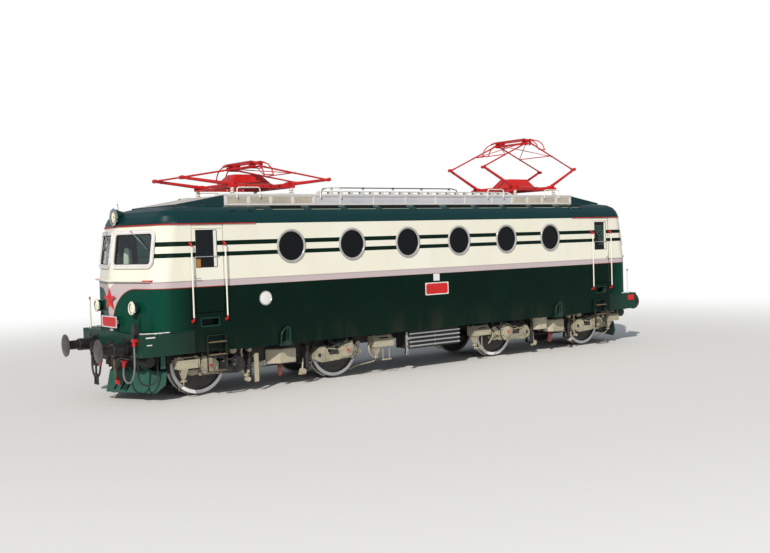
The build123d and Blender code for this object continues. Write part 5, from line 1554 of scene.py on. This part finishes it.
def gear_hoses(form, bogie):
    """Black hoses looped over the axleboxes, with a dark plate and cap on each arm."""
    for x, inward in axle_places(bogie):
        for start, sag, end in GEAR_HOSES:
            points = []
            for i in range(13):
                t = i / 12
                dx = (1 - t) ** 2 * start[0] + 2 * t * (1 - t) * sag[0] + t**2 * end[0]
                dz = (1 - t) ** 2 * start[1] + 2 * t * (1 - t) * sag[1] + t**2 * end[1]
                points.append((x + inward * dx, -1.335 - 0.02 * math.sin(math.pi * t), WHEEL_R + dz))
            points.insert(0, (points[0][0], -1.20, points[0][2] + 0.01))
            points.append((points[-1][0], -1.20, points[-1][2] + 0.01))
            form.pipe(points, 0.011, 8)
        plate = sorted((x + inward * 0.23, x + inward * 0.43))
        form.box(plate, (-1.303, -1.292), (WHEEL_R - 0.07, WHEEL_R + 0.02))
        cap = x + inward * 0.70
        form.rod((cap, -1.305, WHEEL_R - 0.06), (cap, -1.296, WHEEL_R - 0.06), 0.045, 24)


def small_gear(form, bogie):
    """Caps, brake shoes, pins and the step under the inner sand box."""
    outer = OUTER[bogie]
    centre = outer * BOGIE_X
    x = centre + outer * 0.704
    cap = [(0.0, 0.0), (0.0, 0.040), (0.02, 0.050), (0.10, 0.050), (0.10, 0.0)]
    form.lathe(cap, (x, -1.250, 0.832), (0, 1, 0), 24)
    form.bolt_ring((x, -1.248, 0.832), (0, -1, 0), around(6, 0.036), 0.005, 0.006)
    shoe = centre + outer * 0.745
    cap = [(0.0, 0.0), (0.0, 0.046), (0.03, 0.054), (0.10, 0.054), (0.12, 0.0)]
    form.lathe(cap, (shoe, -1.245, 0.235), (0, 1, 0), 24)
    form.box(about(shoe, 0.030), (-1.215, -1.150), (0.235, 0.420))
    form.rod((shoe, -1.235, 0.400), (shoe, -1.130, 0.400), 0.030, 16)
    block = centre - outer * 0.600
    cap = [(0.0, 0.0), (0.0, 0.052), (0.02, 0.060), (0.12, 0.060), (0.12, 0.0)]
    form.lathe(cap, (block, -1.240, 0.255), (0, 1, 0), 24)
    form.box((block - 0.095, block + 0.075), (-1.200, -1.150), (0.185, 0.245))
    form.rod((block - 0.02, -1.180, 0.240), (block + 0.05, -1.120, 0.520), 0.018, 12)
    inner = SAND_BOXES[bogie][1 if bogie == 1 else 0]
    middle = (inner[0] + inner[1]) / 2
    for dx in (-0.01, 0.17):
        hanger = middle - outer * dx
        form.rod((hanger, -1.250, inner[4] + 0.01), (hanger, -1.250, 0.305), 0.009, 10)
    form.rod((middle + outer * 0.04, -1.250, 0.300), (middle - outer * 0.22, -1.250, 0.300), 0.018, 12)
    loop = inner[0] if bogie == 1 else inner[1]
    path = [(0.0, -1.20, 0.72), (0.07, -1.22, 0.70), (0.115, -1.23, 0.62), (0.10, -1.23, 0.50)]
    path.append((-0.02, -1.22, 0.375))
    form.pipe([(loop + outer * dx, y, z) for dx, y, z in path], 0.014, 12)


def drag_gear():
    """Dark drag box, cross reservoirs and straps behind the headstocks, and the ploughs' green hangers."""
    form, hangers = Form(), Form()
    form.box((-7.180, -6.780), (-0.480, 0.480), (0.640, 0.938))
    for y in (-0.30, 0.0, 0.30):
        form.box((-7.190, -6.770), about(y, 0.012), (0.600, 0.938))
    at = (-6.960, 0.0, 0.800)
    for side in BOTH:
        tank = [(0.52, 0.0), (0.52, 0.09), (0.55, 0.118), (1.19, 0.118), (1.22, 0.09), (1.22, 0.0)]
        form.lathe([(side * y, radius) for y, radius in tank], at, (0, 1, 0), 36)
        for y in (0.66, 1.06):
            low, high = about(side * y, 0.02)
            strap = [(low, 0.118), (high, 0.118), (high, 0.124), (low, 0.124)]
            form.lathe(strap, at, (0, 1, 0), 36, ring=True)
            form.box((-6.975, -6.945), (low, high), (0.915, 0.940))
        hangers.box((-6.765, -6.655), on_side(side, 1.225, 1.262), (0.640, 0.942))
        hangers.box((-6.675, -6.655), on_side(side, 1.120, 1.262), (0.640, 0.942))
        for z in (0.700, 0.880):
            hangers.bolt((-6.710, side * 1.262, z), (0, side, 0), 0.013, 0.012)
    form.finish_twins("drag_gear", DARK_GEAR, 0.004)
    hangers.finish_twins("plough_hangers", PLOUGH, 0.003)


def plough_backs():
    """Black plates behind the slots of the ploughs, so that the slots look dark."""
    form = Form()
    along = Vector((0.553, -1, 0)).normalized()
    rise = Vector((0.090, 0, 0.420)).normalized()
    inwards = Vector((1, 0.553, 0)).normalized()
    origin = Vector((-7.380, 0, 0.150)) + inwards * 0.040
    outline = [(0.12, 0.03), (0.74, 0.03), (0.74, 0.30), (0.12, 0.30)]
    form.plate(outline, origin, along, rise, -0.006)
    top = [(0.02, 0.36), (0.84, 0.36), (0.84, 0.525), (0.02, 0.525)]
    form.plate(top, origin - inwards * 0.010, along, rise, -0.006)
    form.finish_twins("plough_backs", BLACKING, flips=ALL_CORNERS)


def bearer_bolts():
    form = Form()
    for x in (-BOGIE_X, BOGIE_X):
        for dx in (-0.065, 0.095):
            for z in (0.905, 0.945):
                form.bolt((x + dx, -1.565, z), (0, -1, 0), 0.011, 0.012)
        form.bolt((x + 0.05, -1.545, 1.245), (0, -1, 0), 0.014, 0.014)
        form.bolt((x - 0.12, -1.545, 0.905), (0, -1, 0), 0.010, 0.012)
    form.finish_twins("bearer_bolts", GREEN)


def midship_trim():
    """Louvres, clamps and bolts on the equipment under the floor."""
    slats, clamps = Form(), Form()
    for i in range(9):
        z = 0.515 + i * 0.042
        slats.box((-0.70, 0.74), (-1.376, -1.368), (z, z + 0.012))
    for x in (-0.70, 0.02, 0.74):
        for z in (0.545, 0.640, 0.735, 0.830):
            clamps.bolt((x, -1.410, z), (0, -1, 0), 0.008, 0.008)
    for z in (0.42, 0.55, 0.68, 0.82):
        clamps.bolt((-0.81, -1.400, z), (0, -1, 0), 0.011, 0.010)
    slats.finish_twins("midship_slats", BLACKING)
    clamps.finish_twins("midship_clamps", DARK_GEAR)


# Lower shafts of a pantograph, its arms, and the top pivot of the -X side's arms
PAN_BASE_X = 0.662
PAN_BASE_Z = 4.248
LOWER_ARM = 1.131
UPPER_ARM = 1.727
PAN_TOP_X = -0.080


def pan_points(degrees):
    """Knee and top pivot of the -X side's arms, from the lower arm's angle."""
    a = math.radians(degrees)
    knee = (-PAN_BASE_X - LOWER_ARM * math.cos(a), PAN_BASE_Z + LOWER_ARM * math.sin(a))
    run = PAN_TOP_X - knee[0]
    return knee, (PAN_TOP_X, knee[1] + math.sqrt(UPPER_ARM**2 - run**2))


def pan_base_trim(number, centre):
    """Raising springs, and on the base the collars of the shafts and the bolts."""
    coils, fixings = Form(), Form()
    for y in (-0.50, 0.50):
        coils.helix((centre - 0.42, y, PAN_BASE_Z), (centre + 0.42, y, PAN_BASE_Z), 0.026, 0.0055, 34)
        for end in BOTH:
            stem = (centre + end * 0.41, y, PAN_BASE_Z)
            fixings.rod(stem, (centre + end * 0.52, y, PAN_BASE_Z), 0.010, 10)
            lug = sorted((centre + end * 0.488, centre + end * 0.516))
            fixings.box(lug, about(y, 0.02), (4.195, 4.262))
    for side in BOTH:
        out = (0, side, 0)
        for end in BOTH:
            x = centre + end * PAN_BASE_X
            outline = [(0.0, 0.031), (0.0, 0.052), (0.010, 0.052), (0.012, 0.031)]
            fixings.lathe(outline, (x, side * 0.800, PAN_BASE_Z), out, 28, ring=True)
            fixings.bolt_ring((x, side * 0.810, PAN_BASE_Z), out, around(4, 0.044, 45), 0.006, 0.008)
        for x in (-0.72, 0.72):
            for dx in (-0.03, 0.03):
                fixings.bolt((centre + x + dx, side * 0.7725, 4.243), (0, 0, 1), 0.010, 0.010)
        for x in (-0.55, -0.2, 0.2, 0.55):
            fixings.bolt((centre + x, side * 0.800, 4.205), out, 0.008, 0.008)
    for x in (-0.50, -0.25, 0.0, 0.25, 0.50):
        for side in BOTH:
            fixings.bolt((centre + x, side * 0.325, 4.225), (0, side * 0.86, 0.5), 0.007, 0.007)
    coils.finish(f"raising_springs_{number}", WORN_STEEL)
    fixings.finish(f"base_fixings_{number}", RED)


def pan_arm_trim(number, centre, knee, top, letter, end):
    """Nuts at the knees and collars on the lower arms; bands round the upper tubes."""
    nuts, eyes = Form(), Form()
    along = Vector((end * (knee[0] + PAN_BASE_X), 0, knee[1] - PAN_BASE_Z))
    rise = Vector((end * (top[0] - knee[0]), 0, top[1] - knee[1]))
    for side in BOTH:
        at = Vector((centre + end * knee[0], side * 0.704, knee[1]))
        nuts.rod(at, at + Vector((0, side * 0.012, 0)), 0.017, 6)
        for share in (0.12, 0.86):
            foot = Vector((centre - end * PAN_BASE_X, side * (0.680 - 0.025 * share), PAN_BASE_Z))
            place = foot + along * share
            nuts.rod(place - along * 0.008, place + along * 0.008, 0.046 - 0.010 * share, 24)
        inner = Vector((centre + end * knee[0], side * 0.590, knee[1]))
        for share in (0.06, 0.50, 0.94):
            place = inner + rise * share
            eyes.rod(place - rise * 0.006, place + rise * 0.006, 0.024, 20)
    nuts.finish(f"pantograph_{number}_collars_{letter}", RED, f"pan_{number}_lower_{letter}")
    eyes.finish(f"pantograph_{number}_bands_{letter}", RED, f"pan_{number}_upper_{letter}")


def pan_head_trim(number, centre, z):
    """Springs and bolts under the two bows of a head."""
    head = Form()
    for side in BOTH:
        y = side * 0.488
        for bow in (-0.112, 0.112):
            x = centre + bow
            head.helix((x, y, z + 0.040), (x, y, z + 0.072), 0.027, 0.004, 4)
            head.bolt((x + 0.030, side * 0.496, z + 0.060), (0, side, 0), 0.006, 0.006)
            for bolt_y in (0.18, 0.40, 0.56):
                for way in BOTH:
                    place = (x + way * 0.036, side * bolt_y, z + 0.090)
                    head.bolt(place, (way, 0, 0), 0.006, 0.006)
    head.finish(f"pantograph_{number}_head_springs", RED, f"pan_{number}_head")


def pantograph_trim():
    """The lowered pantograph and the half-raised one, by the angles of their lower arms."""
    for number, centre, degrees in ((1, -BOGIE_X, 6.5), (2, BOGIE_X, 26.6)):
        pan_base_trim(number, centre)
        knee, top = pan_points(degrees)
        pan_arm_trim(number, centre, knee, top, "a", 1)
        pan_arm_trim(number, centre, knee, top, "b", -1)
        pan_head_trim(number, centre, top[1])


def roof_conductors():
    """Bare conductor between the pantographs on small insulators, and the insulators' foot bolts."""
    bars, posts, bolts = Form(), Form(), Form()
    end = [(2.12, 4.06), (2.05, 4.20), (1.90, 4.235)]
    bar = [(-x, 0.0, z) for x, z in end] + [(x, 0.0, z) for x, z in reversed(end)]
    bars.pipe(bar, 0.014, 12)
    outline = [(0.0, 0.0), (0.0, 0.050), (0.02, 0.050), (0.03, 0.026)]
    for i in range(3):
        z = 0.040 + i * 0.045
        outline += [(z, 0.026), (z + 0.010, 0.052), (z + 0.020, 0.026)]
    outline += [(0.195, 0.026), (0.200, 0.0)]
    for x in (-1.8, -0.9, 0.0, 0.9, 1.8):
        posts.lathe(outline, (x, 0.0, 4.005), (0, 0, 1), 28)
        bars.box(about(x, 0.02), (-0.022, 0.022), (4.198, 4.252))
    for centre in (-BOGIE_X, BOGIE_X):
        for x in (-0.72, 0.72):
            for y in (-0.77, 0.77):
                for dx, dy in around(4, 0.047, 45):
                    bolts.bolt((centre + x + dx, y + dy, 4.050), (0, 0, 1), 0.007, 0.010)
    bars.finish("roof_conductor", WORN_STEEL)
    posts.finish("conductor_insulators", PORCELAIN)
    bolts.finish("insulator_bolts", WORN_STEEL)


def hand_wheel(form, hub):
    """Three-spoked control wheel on its column."""
    lift = Vector((0, 0, 0.03))
    rim = [hub + Vector((0.15 * c, 0.15 * s, 0.03)) for c, s in circle(28)]
    form.pipe(rim + rim[:1], 0.012, 8)
    form.rod(hub - Vector((0, 0, 0.10)), hub + Vector((0, 0, 0.04)), 0.022, 16)
    for dx, dy in around(3, 0.15, 90):
        form.rod(hub + lift, hub + Vector((dx, dy, 0.03)), 0.009, 8)


def cab_fittings():
    """Gauges, control wheels, brake valves and the covered stand on the desk, seen through the glass."""
    panel, bezels, faces, controls = Form(), Form(), Form(), Form()
    panel.box((-6.700, -6.640), (-1.05, 1.05), (2.420, 2.560))
    bezel = [(0.0, 0.046), (0.0, 0.060), (0.014, 0.058), (0.014, 0.046)]
    for y in (-0.80, -0.64, -0.48, -0.32, 0.32, 0.48, 0.64, 0.80):
        bezels.lathe(bezel, (-6.640, y, 2.495), (1, 0, 0), 28, ring=True)
        faces.rod((-6.641, y, 2.495), (-6.634, y, 2.495), 0.047, 28)
    for y in (-0.40, 0.40):
        hand_wheel(controls, Vector((-6.46, y, 2.47)))
    for y in (-0.95, 0.95):
        controls.rod((-6.48, y, 2.37), (-6.48, y, 2.52), 0.035, 20)
        controls.rod((-6.48, y, 2.51), (-6.34, y + 0.05, 2.54), 0.012, 10)
    stand, cover = Form(), Form()
    stand.box((-6.590, -6.535), (0.47, 0.77), (2.40, 2.56))
    half = [(0.150, 2.42), (0.172, 2.50), (0.165, 2.75), (0.130, 2.90), (0.095, 2.975), (0.050, 2.990)]
    outline = half + [(-w, z) for w, z in reversed(half)]
    cover.plate(outline, (-6.590, 0.62, 0.0), (0, 1, 0), (0, 0, 1), 0.060)
    stand.finish_twins("instrument_stands", DARK_INSIDE, 0.004)
    cover.finish_twins("stand_covers", PALE, 0.012)
    panel.finish_twins("gauge_panels", DARK_INSIDE, 0.006)
    bezels.finish_twins("gauge_bezels", CHROME)
    faces.finish_twins("gauge_faces", PALE)
    controls.finish_twins("control_wheels", BLACKING)


gutters()
body_seams()
windscreens()
wipers()
stars()
nose_plates()
side_plates()
lamp_trim()
nose_fittings()
headstock_trim()
door_trim()
port_trim()
wall_trim()
ladder_treads()
casing_trim()
roof_trim()
bogie_pair(box_slots, "box_slots", BLACKING)
bogie_pair(box_fittings, "box_fittings", CASE)
bogie_pair(axlebox_bolts, "axlebox_bolts", RUNNING_GEAR)
bogie_pair(cover_marks, "cover_marks", RED)
bogie_pair(bogie_pipes, "bogie_pipes", WORN_STEEL)
bogie_pair(brake_gear, "brake_gear", CASE)
bogie_pair(red_links, "red_links", BRICK_RED)
bogie_pair(small_gear, "small_gear", CASE)
drag_gear()
bogie_pair(gear_hoses, "gear_hoses", HOSE_BLACK)
plough_backs()
bearer_bolts()
midship_trim()
pantograph_trim()
roof_conductors()
cab_fittings()


# Stage: floor, light and camera


def add_floor():
    """A wide pale floor that fades into the white background."""
    half = 90
    mesh = bpy.data.meshes.new("floor")
    corners = [(-half, -half, 0), (half, -half, 0), (half, half, 0), (-half, half, 0)]
    mesh.from_pydata(corners, [], [(0, 1, 2, 3)])
    floor = bpy.data.objects.new("floor", mesh)
    bpy.context.scene.collection.objects.link(floor)
    material = bpy.data.materials.new("floor")
    material.use_nodes = True
    tree = material.node_tree
    shader = tree.nodes["Principled BSDF"]
    shader.inputs["Base Color"].default_value = (0.74, 0.735, 0.72, 1.0)
    shader.inputs["Roughness"].default_value = 0.9
    place = tree.nodes.new("ShaderNodeTexCoord")
    reach = tree.nodes.new("ShaderNodeVectorMath")
    reach.operation = "LENGTH"
    fade = tree.nodes.new("ShaderNodeMapRange")
    fade.interpolation_type = "SMOOTHSTEP"
    fade.inputs["From Min"].default_value = 9.0
    fade.inputs["From Max"].default_value = 26.0
    clear = tree.nodes.new("ShaderNodeBsdfTransparent")
    mix = tree.nodes.new("ShaderNodeMixShader")
    tree.links.new(place.outputs["Object"], reach.inputs[0])
    tree.links.new(reach.outputs["Value"], fade.inputs["Value"])
    tree.links.new(fade.outputs[0], mix.inputs[0])
    tree.links.new(shader.outputs[0], mix.inputs[1])
    tree.links.new(clear.outputs[0], mix.inputs[2])
    tree.links.new(mix.outputs[0], tree.nodes["Material Output"].inputs[0])
    mesh.materials.append(material)


def add_light(name, place, aim, size, power, colour):
    lamp = bpy.data.lights.new(name, "AREA")
    lamp.shape = "RECTANGLE"
    lamp.size, lamp.size_y = size
    lamp.energy = power
    lamp.color = colour
    holder = bpy.data.objects.new(name, lamp)
    holder.location = place
    holder.rotation_euler = (Vector(aim) - Vector(place)).to_track_quat("-Z", "Y").to_euler()
    bpy.context.scene.collection.objects.link(holder)


def add_sun(towards, strength, colour, angle):
    """The low sun ahead of the nose, a little to the seen side."""
    lamp = bpy.data.lights.new("sun", "SUN")
    lamp.energy = strength
    lamp.color = colour
    lamp.angle = math.radians(angle)
    holder = bpy.data.objects.new("sun", lamp)
    holder.rotation_euler = Vector(towards).to_track_quat("Z", "Y").to_euler()
    bpy.context.scene.collection.objects.link(holder)


def add_world():
    world = bpy.data.worlds.new("studio")
    world.use_nodes = True
    tree = world.node_tree
    tree.nodes.clear()
    output = tree.nodes.new("ShaderNodeOutputWorld")
    soft = tree.nodes.new("ShaderNodeBackground")
    soft.inputs["Color"].default_value = (0.80, 0.86, 0.95, 1.0)
    soft.inputs["Strength"].default_value = 0.38
    white = tree.nodes.new("ShaderNodeBackground")
    white.inputs["Color"].default_value = (1.0, 1.0, 1.0, 1.0)
    white.inputs["Strength"].default_value = 1.0
    seen = tree.nodes.new("ShaderNodeLightPath")
    most = tree.nodes.new("ShaderNodeMath")
    most.operation = "MAXIMUM"
    tree.links.new(seen.outputs["Is Camera Ray"], most.inputs[0])
    tree.links.new(seen.outputs["Is Transmission Ray"], most.inputs[1])
    mix = tree.nodes.new("ShaderNodeMixShader")
    tree.links.new(most.outputs[0], mix.inputs[0])
    tree.links.new(soft.outputs[0], mix.inputs[1])
    tree.links.new(white.outputs[0], mix.inputs[2])
    tree.links.new(mix.outputs[0], output.inputs[0])
    bpy.context.scene.world = world


CAMERA_AT = (-14.8066, -18.9631, 2.9965 + RAIL)
CAMERA_YAW = math.radians(37.375)
CAMERA_PITCH = math.radians(-2.129)
CAMERA_ROLL = math.radians(-1.750)
CAMERA_LENS = 46.233


def add_camera():
    """The photograph's viewpoint: yaw from +Y towards +X, then pitch and roll."""
    yaw, pitch, roll = CAMERA_YAW, CAMERA_PITCH, CAMERA_ROLL
    ahead = Vector((math.sin(yaw) * math.cos(pitch), math.cos(yaw) * math.cos(pitch), math.sin(pitch)))
    level = Vector((math.cos(yaw), -math.sin(yaw), 0))
    upright = level.cross(ahead)
    right = math.cos(roll) * level + math.sin(roll) * upright
    up = -math.sin(roll) * level + math.cos(roll) * upright
    data = bpy.data.cameras.new("camera")
    data.sensor_width = 36
    data.lens = CAMERA_LENS
    camera = bpy.data.objects.new("camera", data)
    turn = Matrix((right, up, -ahead)).transposed().to_4x4()
    camera.matrix_world = Matrix.Translation(CAMERA_AT) @ turn
    bpy.context.scene.collection.objects.link(camera)
    bpy.context.scene.camera = camera


add_camera()
add_floor()
add_world()
add_sun((-0.66, -0.52, 0.54), 3.6, (1.0, 0.955, 0.88), 0.9)
add_light("side_fill", (-6, -26, 6), (0, 0, 1.2), (18, 6), 700, (0.95, 0.97, 1.0))
bpy.context.scene.view_settings.view_transform = "Standard"
